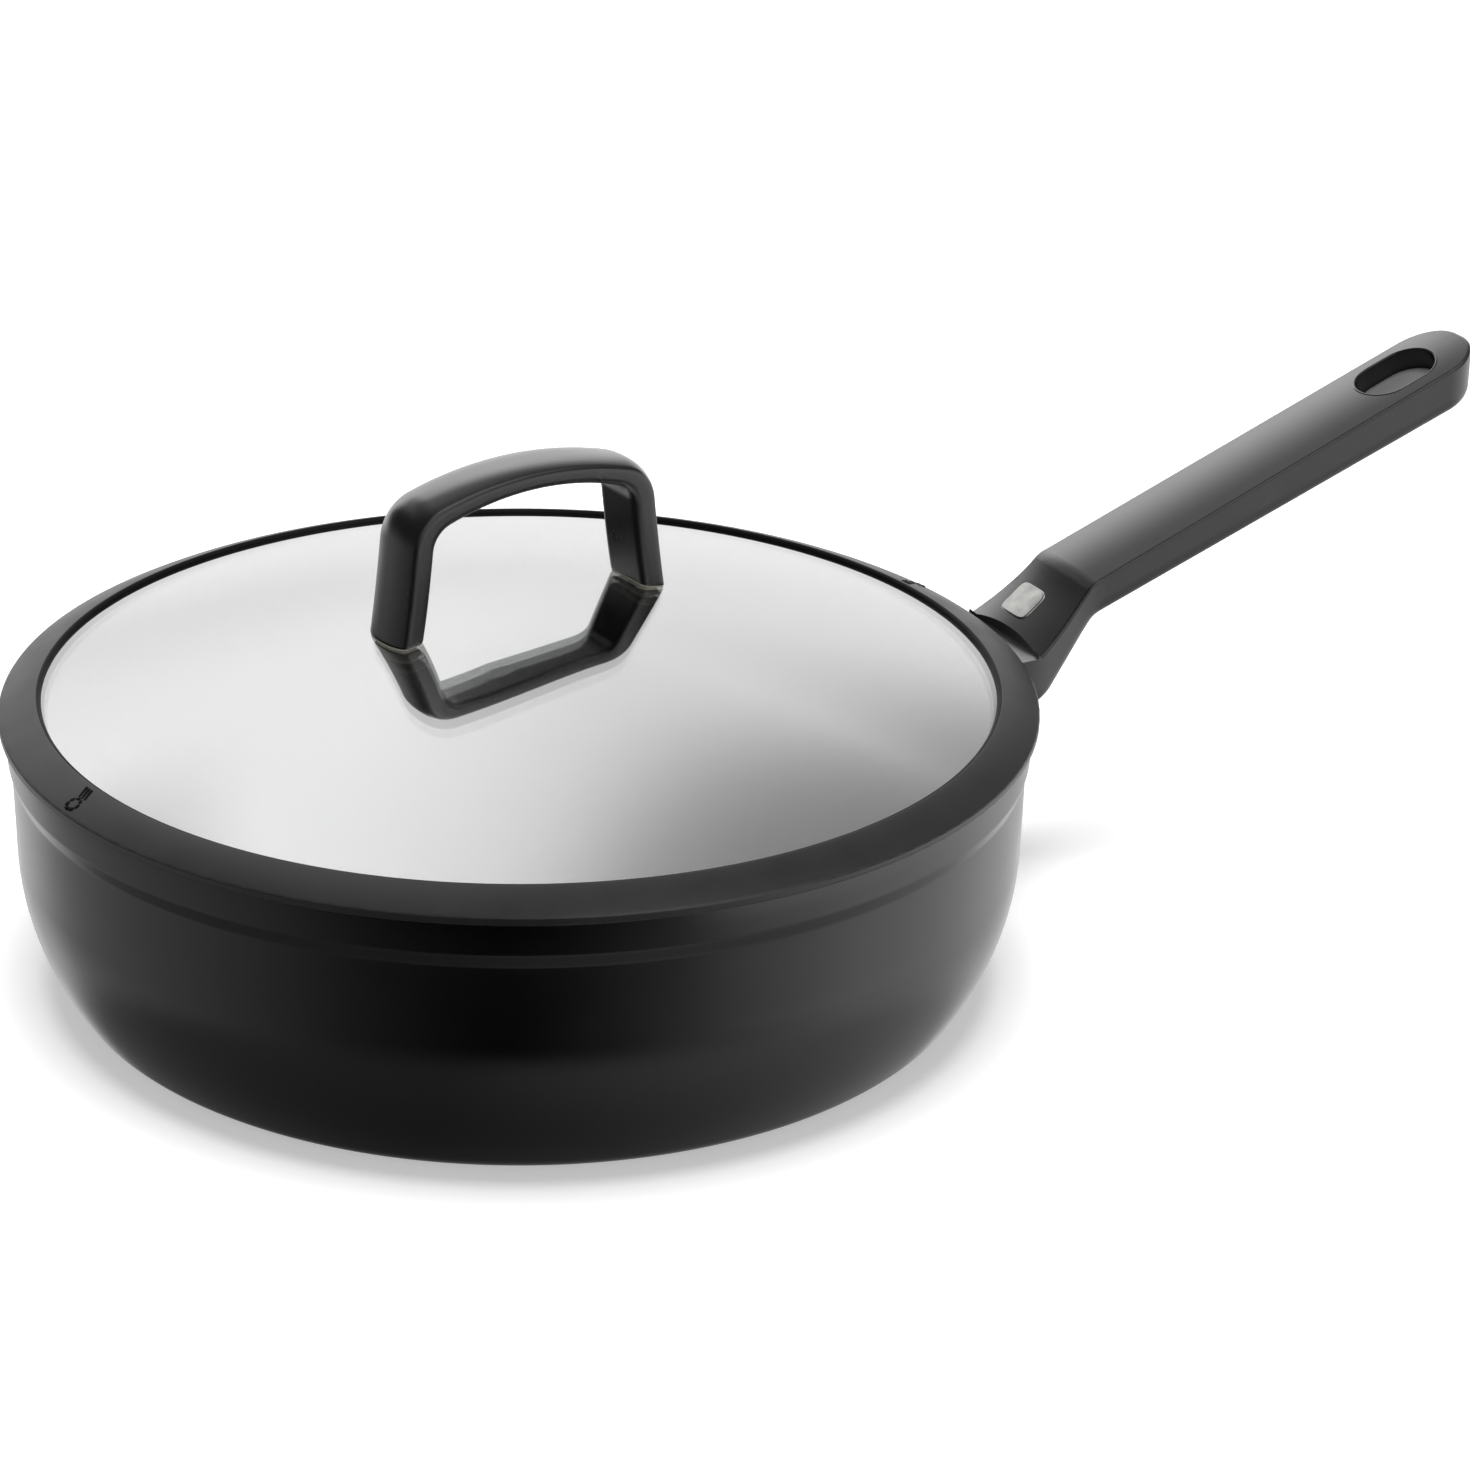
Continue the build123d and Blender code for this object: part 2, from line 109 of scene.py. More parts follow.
# Height inside the glass where the outlines of the legs begin
ARCH_FOOT = 104.0
# Share of the rows from a foot to the shoulder's start, its end and the middle of the arch
ARCH_KNOTS = (0.0, 0.42, 0.62, 1.0)
LEG_STEPS = 400
SHOULDER_STEPS = 200
# Rows near each foot that bend to the dome
FOOT_ROWS = 30

# Section of the arch: drop of its top towards the ridge as a share, and the power of that drop
TOP_DROP = 0.22
TOP_POWER = 2.6
RIDGE_INSET = 0.5
# Its side below the ridge: share from the inner to the outer face, inset from the full width
ARCH_SIDE = (
    (0.72, 0.2),
    (0.65, 0.03),
    (0.55, 0.0),
    (0.24, 0.1),
    (0.12, 0.4),
    (0.04, 1.1),
    (0.0, 2.2),
)
ARCH_COLUMNS = 64
# Thickness that sets the even spacing of the section's points
ARCH_THICKNESS = 7.0

# Pad under each foot: its height, and by row the share of the foot's outline and of that height
GASKET_HEIGHT = 0.8
GASKET_ROWS = ((0.9, 1.0), (0.98, 0.7), (0.98, 0.3), (0.9, -0.03))

# Sloping top of the silicone ring, in millimetres: inner and outer edge
BAND_INNER = (134.2, 86.6)
BAND_OUTER = (145.0, 82.1)

# Height of the bulge of the ring's top
BAND_SKIN = 0.38
# Rest of the ring's fine section: lip beside the glass, then outer edge and hidden underside
BAND_LIP = ((133.1, 85.0), (133.02, 85.5), (133.25, 86.05), (133.7, 86.5), (134.0, 86.62))
BAND_UNDER = ((144.9, 81.95), (144.7, 81.75), (138.0, 84.4), (134.4, 86.0), (133.5, 85.0))
BAND_STEPS = 22

# Pour marks on the ring, in millimetres: strokes (length, width) and drops (length, width),
# the strokes' turn, step and place, and the number, circle and place of the drops
MARK_STROKE = (4.4, 0.95)
MARK_DROP = (1.7, 1.15)
MARK_HEIGHT = 0.12
STROKE_TURN = math.radians(62)
STROKE_STEP = 1.35
STROKE_PLACE = (-0.6, -2.3)
DROP_COUNT = 7
DROP_CIRCLE = 2.0
DROP_PLACE = 2.1

# Blank inlay on the root face: half sizes up the slope and across, and its place across
INLAY_HALF = (5.6, 6.8)
INLAY_OFFSET = 3.9
# Its place up the root face as a share, and the power that squares its outline
INLAY_SHARE = 0.42
INLAY_POWER = 2.0 / 5.0
# Its rings from the hidden foot to the top: share of the outline and height above the face
INLAY_RINGS = (
    (1.0, -0.5),
    (1.0, 0.12),
    (0.97, 0.26),
    (0.93, 0.32),
    (0.88, 0.34),
    (0.6, 0.37),
    (0.3, 0.39),
)
INLAY_TOP = 0.395
INLAY_AROUND = 72

# Screws, in millimetres: head (radius, height, top), shank (radius, top), and the grip's place
GRIP_SCREW = (149.6, (4.4, 2.4, 57.6), (2.5, 66.5))
ARCH_SCREW_REACH = 39.4
ARCH_SCREW = ((3.8, 2.6, 101.3), (2.0, 118.0))
# Cross recess: depth, share of the head's radius, half an arm's width as a share of its own
RECESS_DEPTH = 1.1
RECESS_SHARE = 0.62
ARM_SHARE = 0.3
# Rounding of the head's rim as a share of its height, and shares of its radius by row
HEAD_BEVEL = 0.35
HEAD_RINGS = (1.0, 0.98, 0.94, 0.88, 0.8, 0.7, 0.62, 0.56, 0.5, 0.44, 0.36, 0.28, 0.2, 0.12, 0.03)
HEAD_AROUND = 96
# Overlap of the shank with its head, and its thread: pitch, depth and steps
SHANK_OVERLAP = 0.3
THREAD_PITCH = 0.8
THREAD_DEPTH = 0.22
THREAD_STEP = 0.12
SHANK_AROUND = 40

# Hanging pocket of the long handle: slope of the face, middle, size (length, width, depth)
GRIP_SLOPE = math.radians(20.9)
POCKET_X = 291.8
POCKET_SIZE = (26.0, 18.8, 7.0)
# Bead: radius, way out from the pocket's edge, share of the radius below the face
POCKET_BEAD = 0.5
BEAD_OUTSET = 0.25
BEAD_SINK = 0.62
BEAD_AROUND = 160
BEAD_SECTION = 10
# Floor pad: how much smaller than the pocket, and its height
POCKET_PLAY = 0.3
PAD_HEIGHT = 0.35

# Root face of the long handle, in millimetres: foot and knee of its rise, depth of its hollow
ROOT_FOOT = (158.0, 73.6)
ROOT_KNEE = (177.7, 90.1)
ROOT_HOLLOW = 1.0
# Radius of the crown across the faces of the long handle
GRIP_CROWN_RADIUS = 104.0


# Meshes


def make_mesh_piece(name, points, faces, materials, smooth=True):
    """Object at the origin from points in millimetres and rows of corner numbers."""
    mesh = bpy.data.meshes.new(name)
    mesh.from_pydata((np.asarray(points, float) * MM).tolist(), [], faces)
    mesh.update()
    mesh.polygons.foreach_set("use_smooth", np.full(len(mesh.polygons), smooth))
    for material in materials:
        mesh.materials.append(material)
    mesh.validate()
    piece = bpy.data.objects.new(name, mesh)
    bpy.context.scene.collection.objects.link(piece)
    return piece


def full_turn(count):
    """Even angles of a full turn, the last one step before the first."""
    return np.linspace(0.0, 2.0 * math.pi, count, endpoint=False)


def point_rows(x, y, z):
    """List of points from three grids, or from rows and columns that make up a grid."""
    return np.stack(np.broadcast_arrays(x, y, z), axis=-1).reshape(-1, 3)


def turned_rows(radius, height, turn):
    """Points (r cos a, r sin a, z) at the angles a, from a row or a grid of r and of z."""
    return point_rows(radius * np.cos(turn), radius * np.sin(turn), height)


def grid_faces(rows, columns):
    """Quads between neighbouring rows of a grid whose last column joins the first."""
    row = np.arange(rows - 1)[:, None]
    column = np.arange(columns)[None, :]
    after = (column + 1) % columns
    corners = [
        row * columns + column,
        row * columns + after,
        (row + 1) * columns + after,
        (row + 1) * columns + column,
    ]
    return np.stack(corners, axis=-1).reshape(-1, 4).tolist()


def end_caps(rows, columns):
    """One face over the first row of a grid and one over its last."""
    last = (rows - 1) * columns
    return [list(range(columns))[::-1], [last + i for i in range(columns)]]


def seam_faces(rows, columns):
    """Quads that join the last row of a grid to its first."""
    start = np.arange(columns)
    after = (start + 1) % columns
    last = (rows - 1) * columns
    return np.stack([last + start, last + after, after, start], axis=-1).tolist()


def fan_faces(first, columns, tip):
    """Triangles from a row that begins at a first point to one tip."""
    start = np.arange(columns)
    after = (start + 1) % columns
    return np.stack([first + start, first + after, np.full(columns, tip)], axis=-1).tolist()


def flipped(faces):
    """Faces with their order of corners turned round."""
    return [list(face)[::-1] for face in faces]


def join_grids(grids):
    """Several (points, faces) put together as one."""
    points, faces, start = [], [], 0
    for own_points, own_faces in grids:
        points.append(own_points)
        faces += [[corner + start for corner in face] for face in own_faces]
        start += len(own_points)
    return np.vstack(points), faces


def revolve_rows(profile, around):
    """Profile rows (r, z) turned about the z axis at even angles."""
    radius, height = np.asarray(profile, float).T
    return turned_rows(radius[:, None], height[:, None], full_turn(around))


def revolved_piece(name, profile, around, materials, finish_of_row=None):
    """Profile from pole to pole turned about z. The two pole rows become single points with
    fans."""
    middle = np.asarray(profile, float)[1:-1]
    points = revolve_rows(middle, around)
    count = len(points)
    poles = np.array([[0.0, 0.0, profile[0][1]], [0.0, 0.0, profile[-1][1]]])
    faces = grid_faces(len(middle), around)
    first_fan = flipped(fan_faces(0, around, count))
    last_fan = fan_faces(count - around, around, count + 1)
    piece = make_mesh_piece(
        name,
        np.vstack([points, poles]),
        faces + first_fan + last_fan,
        materials,
    )
    if finish_of_row is not None:
        first, *rows, final = finish_of_row
        set_finish_of_rows(piece, [*rows, first, final], around)
    return piece


def ring_piece(name, profile, around, materials, finish_of_row):
    """Closed section turned about z: its last row joins the first again."""
    rows = len(profile)
    faces = grid_faces(rows, around) + seam_faces(rows, around)
    piece = make_mesh_piece(name, revolve_rows(profile, around), faces, materials)
    set_finish_of_rows(piece, finish_of_row, around)
    return piece


def set_finish_of_rows(piece, finish_of_row, around):
    """Number of the material for each row of faces round the axis."""
    numbers = np.repeat(np.asarray(finish_of_row, np.int32), around)
    piece.data.polygons.foreach_set("material_index", numbers)


def arc_row(centre, radius, start, end, count):
    """Points centre + radius (cos t, sin t) for t from start to end."""
    turn = np.linspace(start, end, count)
    return np.stack(
        [centre[0] + radius * np.cos(turn), centre[1] + radius * np.sin(turn)],
        axis=-1,
    )


def rounded_corner(before, corner, after, radius, count=7):
    """Arc tangent to both arms of a corner: its centre lies on the corner's bisector."""
    before, corner, after = (np.asarray(p[:2], float) for p in (before, corner, after))
    if radius <= 0:
        return corner[None, :]
    arm_in = (before - corner) / np.linalg.norm(before - corner)
    arm_out = (after - corner) / np.linalg.norm(after - corner)
    half = math.acos(np.clip(arm_in @ arm_out, -1, 1)) / 2
    bisector = (arm_in + arm_out) / np.linalg.norm(arm_in + arm_out)
    centre = corner + bisector * radius / math.sin(half)
    start = corner + arm_in * radius / math.tan(half) - centre
    end = corner + arm_out * radius / math.tan(half) - centre
    sweep = math.atan2(start[0] * end[1] - start[1] * end[0], start @ end)
    turn = np.linspace(0.0, sweep, count)[:, None]
    normal = np.array([-start[1], start[0]])
    return centre + start * np.cos(turn) + normal * np.sin(turn)


def rounded_row(corners):
    """Row of points through corners (r, z, rounding), the two end corners kept sharp."""
    rows = [np.asarray(corners[0][:2], float)[None, :]]
    for before, corner, after in zip(corners, corners[1:], corners[2:]):
        rows.append(rounded_corner(before, corner, after, corner[2]))
    rows.append(np.asarray(corners[-1][:2], float)[None, :])
    return np.vstack(rows)


def even_row(row, spacing):
    """Row with points added on its straight runs, none longer than the spacing."""
    row = np.asarray(row, float)
    out = [row[:1]]
    for start, end in zip(row[:-1], row[1:]):
        count = max(1, math.ceil(np.linalg.norm(end - start) / spacing))
        share = (np.arange(1, count + 1) / count)[:, None]
        out.append(start + (end - start) * share)
    return np.vstack(out)


# Node helpers


def link(tree, source, target):
    """Join two sockets of one node tree."""
    tree.links.new(source, target)


def add_node(tree, kind, **values):
    """Node of a kind with its own attributes set by name."""
    node = tree.nodes.new(kind)
    for name, value in values.items():
        setattr(node, name, value)
    return node


def math_node(tree, operation, first, second=None):
    """Math node fed by sockets or numbers; gives its output socket."""
    node = add_node(tree, "ShaderNodeMath", operation=operation)
    for index, value in enumerate((first, second)):
        if value is None:
            continue
        if isinstance(value, (int, float)):
            node.inputs[index].default_value = value
        else:
            link(tree, value, node.inputs[index])
    return node.outputs[0]


def product(tree, first, second):
    """Product of two values, each a socket or a number."""
    return math_node(tree, "MULTIPLY", first, second)


def ramp_node(tree, value, stops, mode="LINEAR"):
    """Colour ramp over plain grey or colour stops (place, colour)."""
    node = add_node(tree, "ShaderNodeValToRGB")
    node.color_ramp.interpolation = mode
    elements = node.color_ramp.elements
    while len(elements) > 1:
        elements.remove(elements[-1])
    for index, (place, colour) in enumerate(stops):
        element = elements[0] if index == 0 else elements.new(place)
        element.position = place
        shade = (colour,) * 3 if isinstance(colour, (int, float)) else colour
        element.color = (*shade, 1.0)
    link(tree, value, node.inputs["Fac"])
    return node.outputs["Color"]


def range_node(tree, value, low, high, new_low=0.0, new_high=1.0, smooth=False):
    """Map Range from low..high to new_low..new_high."""
    node = add_node(tree, "ShaderNodeMapRange")
    node.interpolation_type = "SMOOTHSTEP" if smooth else "LINEAR"
    node.clamp = True
    for name, number in (
        ("From Min", low),
        ("From Max", high),
        ("To Min", new_low),
        ("To Max", new_high),
    ):
        node.inputs[name].default_value = number
    link(tree, value, node.inputs["Value"])
    return node.outputs["Result"]


def mix_shades(tree, factor, first, second):
    """Mix of two shades, each a socket or three numbers."""
    node = add_node(tree, "ShaderNodeMix", data_type="RGBA")
    link(tree, factor, node.inputs["Factor"])
    for name, value in (("A", first), ("B", second)):
        socket = [i for i in node.inputs if i.name == name and i.type == "RGBA"][0]
        if isinstance(value, tuple):
            socket.default_value = (*value, 1.0)
        else:
            link(tree, value, socket)
    return [o for o in node.outputs if o.type == "RGBA"][0]


def mix_shaders(tree, factor, first, second):
    """Mix of two shaders by a factor; gives its output socket."""
    node = add_node(tree, "ShaderNodeMixShader")
    for index, socket in enumerate((factor, first, second)):
        link(tree, socket, node.inputs[index])
    return node.outputs[0]


def effect_group(name, inputs, outputs):
    """Empty node group with named sockets; gives the tree and its two end nodes."""
    tree = bpy.data.node_groups.new(name, "ShaderNodeTree")
    for label, kind, value in inputs:
        socket = tree.interface.new_socket(label, in_out="INPUT", socket_type=kind)
        if value is not None:
            socket.default_value = value
    for label, kind in outputs:
        tree.interface.new_socket(label, in_out="OUTPUT", socket_type=kind)
    return tree, add_node(tree, "NodeGroupInput"), add_node(tree, "NodeGroupOutput")


def fine_grain_group():
    """Two sizes of noise: a fine grain for roughness and bump, and a broad mottling."""
    tree, start, end = effect_group(
        "Fine grain",
        (
            ("Vector", "NodeSocketVector", None),
            ("Grain scale", "NodeSocketFloat", 2400.0),
            ("Mottle scale", "NodeSocketFloat", 40.0),
        ),
        (
            ("Grain", "NodeSocketFloat"),
            ("Mottle", "NodeSocketFloat"),
        ),
    )
    for label, scale, detail in (("Grain", "Grain scale", 2.0), ("Mottle", "Mottle scale", 4.0)):
        noise = add_node(tree, "ShaderNodeTexNoise")
        noise.inputs["Detail"].default_value = detail
        link(tree, start.outputs["Vector"], noise.inputs["Vector"])
        link(tree, start.outputs[scale], noise.inputs["Scale"])
        link(tree, noise.outputs["Fac"], end.inputs[label])
    return tree


def turned_rings_group():
    """Fine rings about the z axis, as left by turning: a wave of the radius, broken by noise."""
    tree, start, end = effect_group(
        "Turned rings",
        (
            ("Vector", "NodeSocketVector", None),
            ("Rings per metre", "NodeSocketFloat", 1600.0),
        ),
        (("Rings", "NodeSocketFloat"),),
    )
    split = add_node(tree, "ShaderNodeSeparateXYZ")
    link(tree, start.outputs["Vector"], split.inputs[0])
    across = product(tree, split.outputs[0], split.outputs[0])
    along = product(tree, split.outputs[1], split.outputs[1])
    radius = math_node(tree, "SQRT", math_node(tree, "ADD", across, along))
    noise = add_node(tree, "ShaderNodeTexNoise", noise_dimensions="1D")
    noise.inputs["Detail"].default_value = 3.0
    place = product(tree, radius, start.outputs["Rings per metre"])
    link(tree, place, noise.inputs["W"])
    noise.inputs["Scale"].default_value = 1.0
    link(tree, noise.outputs["Fac"], end.inputs["Rings"])
    return tree


def speckle_group():
    """Sparse small specks: the cells of a Voronoi pattern whose own shade is above a threshold."""
    tree, start, end = effect_group(
        "Speckle",
        (
            ("Vector", "NodeSocketVector", None),
            ("Scale", "NodeSocketFloat", 900.0),
            ("Share", "NodeSocketFloat", 0.1),
        ),
        (("Specks", "NodeSocketFloat"),),
    )
    cells = add_node(tree, "ShaderNodeTexVoronoi")
    link(tree, start.outputs["Vector"], cells.inputs["Vector"])
    link(tree, start.outputs["Scale"], cells.inputs["Scale"])
    shade = add_node(tree, "ShaderNodeSeparateColor")
    link(tree, cells.outputs["Color"], shade.inputs[0])
    chosen = math_node(tree, "LESS_THAN", shade.outputs[0], start.outputs["Share"])
    near = range_node(tree, cells.outputs["Distance"], 0.15, 0.4, 1.0, 0.0, smooth=True)
    link(tree, product(tree, chosen, near), end.inputs["Specks"])
    return tree


EFFECTS = {}


def place_effect(tree, name, vector, **values):
    """Shared effect placed in a material with its own values."""
    if name not in EFFECTS:
        builders = {
            "Fine grain": fine_grain_group,
            "Turned rings": turned_rings_group,
            "Speckle": speckle_group,
        }
        EFFECTS[name] = builders[name]()
    node = add_node(tree, "ShaderNodeGroup")
    node.node_tree = EFFECTS[name]
    link(tree, vector, node.inputs["Vector"])
    for label, value in values.items():
        node.inputs[label.replace("_", " ")].default_value = value
    return node


def start_finish(name, roughness, metallic=0.0, ior=1.5):
    """New material with a Principled shader; gives material, tree, shader and coordinates."""
    material = bpy.data.materials.new(name)
    material.use_nodes = True
    tree = material.node_tree
    shader = tree.nodes["Principled BSDF"]
    shader.inputs["Roughness"].default_value = roughness
    shader.inputs["Metallic"].default_value = metallic
    shader.inputs["IOR"].default_value = ior
    coordinates = add_node(tree, "ShaderNodeTexCoord").outputs["Object"]
    return material, tree, shader, coordinates


def add_bump(tree, shader, height, distance):
    """Bump of a height over a distance in metres, fed to the shader's Normal."""
    bump = add_node(tree, "ShaderNodeBump")
    bump.inputs["Strength"].default_value = 1.0
    bump.inputs["Distance"].default_value = distance
    link(tree, height, bump.inputs["Height"])
    link(tree, bump.outputs["Normal"], shader.inputs["Normal"])


def scaled(shade, factor):
    """Shade with each channel times a factor."""
    return [factor * channel for channel in shade]


def tone(tree, shader, value, dark, light, low=0.3, high=0.7):
    """Base colour between two tones, by a value that varies over the surface."""
    link(tree, ramp_node(tree, value, ((low, dark), (high, light))), shader.inputs["Base Color"])


def spread_roughness(tree, shader, value, middle, spread):
    """Roughness that varies by a spread to both sides of its middle."""
    wave = range_node(tree, value, 0.3, 0.7, middle - spread, middle + spread)
    link(tree, wave, shader.inputs["Roughness"])


def look():
    """The user's colours and sizes."""
    return bpy.context.scene.pan_look


# Haze of the handles: ranges of the glancing angle and of the upward normal, index, roughness
HAZE_FACING = (0.4, 0.6)
HAZE_UPWARD = (0.15, 0.5)
HAZE_IOR = 3.2
HAZE_ROUGHNESS = 0.26


def add_haze(tree, shader, amount):
    """Coat that comes up at glancing angles, on the sides that face up."""
    facing = add_node(tree, "ShaderNodeLayerWeight")
    facing.inputs["Blend"].default_value = 0.5
    veil = range_node(tree, facing.outputs["Facing"], *HAZE_FACING, 0.0, amount, smooth=True)
    normal = add_node(tree, "ShaderNodeSeparateXYZ")
    link(tree, add_node(tree, "ShaderNodeNewGeometry").outputs["Normal"], normal.inputs[0])
    upward = range_node(tree, normal.outputs["Z"], *HAZE_UPWARD, smooth=True)
    link(tree, product(tree, veil, upward), shader.inputs["Coat Weight"])
    shader.inputs["Coat IOR"].default_value = HAZE_IOR
    shader.inputs["Coat Roughness"].default_value = HAZE_ROUGHNESS


def moulded_finish(
    name,
    shade,
    roughness,
    grain_scale,
    bump,
    ior=1.5,
    haze=0.0,
    mottle_scale=60.0,
    uneven=0.15,
    spread=0.04,
):
    """Plastic, rubber or paint: a fine grain in relief, slow mottling of the shade and of the
    sheen, and where asked for a haze on its upper sides."""
    material, tree, shader, place = start_finish(name, roughness, ior=ior)
    if haze > 0:
        add_haze(tree, shader, haze)
    grain = place_effect(
        tree, "Fine grain", place, Grain_scale=grain_scale, Mottle_scale=mottle_scale
    )
    mottle = grain.outputs["Mottle"]
    tone(tree, shader, mottle, scaled(shade, 1.0 - uneven), scaled(shade, 1.0 + uneven))
    spread_roughness(tree, shader, mottle, roughness, spread)
    add_bump(tree, shader, grain.outputs["Grain"], bump)
    return material


def inner_coat_finish():
    """Non-stick coat inside: turned rings under it and sparse pale specks in it."""
    material, tree, shader, place = start_finish("Non-stick inner coat", 0.38)
    specks = place_effect(tree, "Speckle", place, Scale=700.0, Share=0.12)
    rings = place_effect(tree, "Turned rings", place, Rings_per_metre=900.0)
    shade = look().inner_shade
    pale = [min(1.0, channel) for channel in scaled(shade, 5.0)]
    tone(tree, shader, specks.outputs["Specks"], list(shade), pale, 0.2, 0.9)
    spread_roughness(tree, shader, rings.outputs["Rings"], 0.38, 0.04)
    add_bump(tree, shader, rings.outputs["Rings"], 0.00003)
    return material


def turned_steel_finish():
    """Turned stainless steel: fine rings in sheen and relief."""
    material, tree, shader, place = start_finish("Turned steel", 0.3, metallic=1.0)
    rings = place_effect(tree, "Turned rings", place, Rings_per_metre=2600.0)
    tone(tree, shader, rings.outputs["Rings"], (0.47, 0.46, 0.45), (0.62, 0.61, 0.59))
    spread_roughness(tree, shader, rings.outputs["Rings"], 0.3, 0.06)
    add_bump(tree, shader, rings.outputs["Rings"], 0.00003)
    return material


def plain_metal_finish(name, dark, light, roughness):
    """Small metal hardware: slow mottling of tone and sheen."""
    material, tree, shader, place = start_finish(name, roughness, metallic=1.0)
    grain = place_effect(tree, "Fine grain", place, Grain_scale=1800.0, Mottle_scale=220.0)
    tone(tree, shader, grain.outputs["Mottle"], dark, light)
    spread_roughness(tree, shader, grain.outputs["Grain"], roughness, 0.05)
    add_bump(tree, shader, grain.outputs["Grain"], 0.00001)
    return material


def mirror_glass_finish(name, metallic, tint):
    """Half-mirror glass: a plain share of mirror over clear glass."""
    material, tree, shader, place = start_finish(name, 0.02, metallic=metallic, ior=1.5)
    shader.inputs["Transmission Weight"].default_value = 1.0
    mottle = place_effect(tree, "Fine grain", place, Grain_scale=500.0, Mottle_scale=12.0)
    tone(tree, shader, mottle.outputs["Mottle"], scaled(tint, 0.985), list(tint))
    return material


def finish_table():
    """Maker of each finish and the values it takes, by the finish's name."""
    settings = look()
    grip = (settings.grip_shade, settings.grip_roughness)
    return {
        "outer coat": (
            moulded_finish,
            "Satin outer coat",
            settings.coat_shade,
            settings.coat_roughness,
            1500.0,
            0.00001,
            1.6,
            0.0,
            30.0,
            0.2,
            0.03,
        ),
        "inner coat": (inner_coat_finish,),
        "turned steel": (turned_steel_finish,),
        "soft touch": (moulded_finish, "Soft-touch black", *grip, 2200.0, 0.00003, 1.62, 0.9),
        "silicone": (
            moulded_finish,
            "Matte silicone",
            settings.silicone_shade,
            0.36,
            1600.0,
            0.00002,
            1.55,
        ),
        "soft pad": (moulded_finish, "Grey soft washer", (0.12,) * 3, 0.55, 1800.0, 0.00002),
        "mark": (moulded_finish, "Sunk mark", (0.002,) * 3, 0.6, 1800.0, 0.00001, 1.2),
        # Pale floor pad of the pocket: painted light on the pocket's floor
        "pocket floor": (
            moulded_finish,
            "Worn pocket floor",
            (0.11,) * 3,
            0.45,
            1800.0,
            0.00002,
            1.6,
        ),
        # Darker, duller lip beside the glass: painted shade between the ring and the glass
        "ring lip": (moulded_finish, "Ring lip", (0.004,) * 3, 0.5, 1800.0, 0.00001, 1.25),
        "gasket": (moulded_finish, "Pale gasket", (0.72, 0.7, 0.6), 0.35, 1800.0, 0.00001),
        "hardware": (plain_metal_finish, "Bright steel", (0.5,) * 3, (0.68, 0.68, 0.67), 0.22),
        "inlay": (plain_metal_finish, "Chromed inlay", (0.4, 0.4, 0.39), (0.62, 0.62, 0.6), 0.14),
        "brass": (plain_metal_finish, "Brass", (0.62, 0.46, 0.2), (0.78, 0.6, 0.3), 0.3),
        "glass top": (
            mirror_glass_finish,
            "Lid glass",
            settings.glass_mirror,
            (0.98, 0.985, 0.98),
        ),
        "glass underside": (
            mirror_glass_finish,
            "Lid glass underside",
            0.95,
            (0.96, 0.97, 0.965),
        ),
    }


FINISHES = {}


def finish(name):
    """Material by name, made once."""
    if name not in FINISHES:
        maker, *values = finish_table()[name]
        FINISHES[name] = maker(*values)
    return FINISHES[name]


def dress(node, finish_name):
    """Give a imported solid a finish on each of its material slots."""
    slots = NODES[node].data.materials
    if len(slots) == 0:
        slots.append(finish(finish_name))
    for index in range(len(slots)):
        slots[index] = finish(finish_name)


# Shapes of the object


def bowl_arc_row(radius, fillet_radius, floor, count):
    """Rounding of the lower wall with its fillet to a flat at the floor height, floor first."""
    centre = (BOWL_CENTRE_RADIUS, SHOULDER_HEIGHT)
    drop = SHOULDER_HEIGHT - floor - fillet_radius
    reach = math.sqrt((radius - fillet_radius) ** 2 - drop**2)
    turn = math.atan2(-drop, reach)
    corner = (centre[0] + reach, floor + fillet_radius)
    fillet_row = arc_row(corner, fillet_radius, -math.pi / 2, turn, 13)
    wall_row = arc_row(centre, radius, turn, 0.0, count)
    return np.vstack([fillet_row, wall_row[1:]])


def bowl_rows():
    """Whole bowl section from the underside's middle round the wall to the floor's middle."""
    pocket = [
        (0.0, PLATE_HEIGHT),
        (PLATE_POCKET_RADIUS, PLATE_HEIGHT),
        (PLATE_POCKET_RADIUS, 0.0),
    ]
    outside = bowl_arc_row(BOWL_ROUNDING, BASE_CORNER, 0.0, 36)
    wall = rounded_row(WALL_CORNERS)
    inside = bowl_arc_row(BOWL_ROUNDING - BODY_WALL, FLOOR_CORNER, FLOOR_HEIGHT, 34)[::-1]
    outer_row = even_row(np.vstack([pocket, outside]), FLOOR_STEP)
    wall_row = even_row(wall, WALL_STEP)[1:-1]
    inner_row = even_row(np.vstack([inside, [(0.0, FLOOR_HEIGHT)]]), FLOOR_STEP)
    rim_crossing = int(np.argmin(np.abs(wall_row - COAT_START).sum(axis=1)))
    profile = np.vstack([outer_row, wall_row, inner_row])
    inner_start = len(outer_row) + rim_crossing
    return profile, (np.arange(len(profile) - 1) >= inner_start).astype(int)


def dome_height(radius):
    """Height of the glass top at a radius: a crown arc, then a flatter arc tangent to it."""
    joint_radius = CROWN_RADIUS * math.sin(CROWN_ANGLE)
    joint_height = GLASS_APEX - CROWN_RADIUS * (1 - math.cos(CROWN_ANGLE))
    joined = np.minimum(radius, joint_radius)
    crown = GLASS_APEX - CROWN_RADIUS + np.sqrt(CROWN_RADIUS**2 - joined**2)
    centre_radius = joint_radius - SKIRT_RADIUS * math.sin(CROWN_ANGLE)
    centre_height = joint_height - SKIRT_RADIUS * math.cos(CROWN_ANGLE)
    skirt = centre_height + np.sqrt(SKIRT_RADIUS**2 - (radius - centre_radius) ** 2)
    return np.where(radius < joint_radius, crown, skirt)


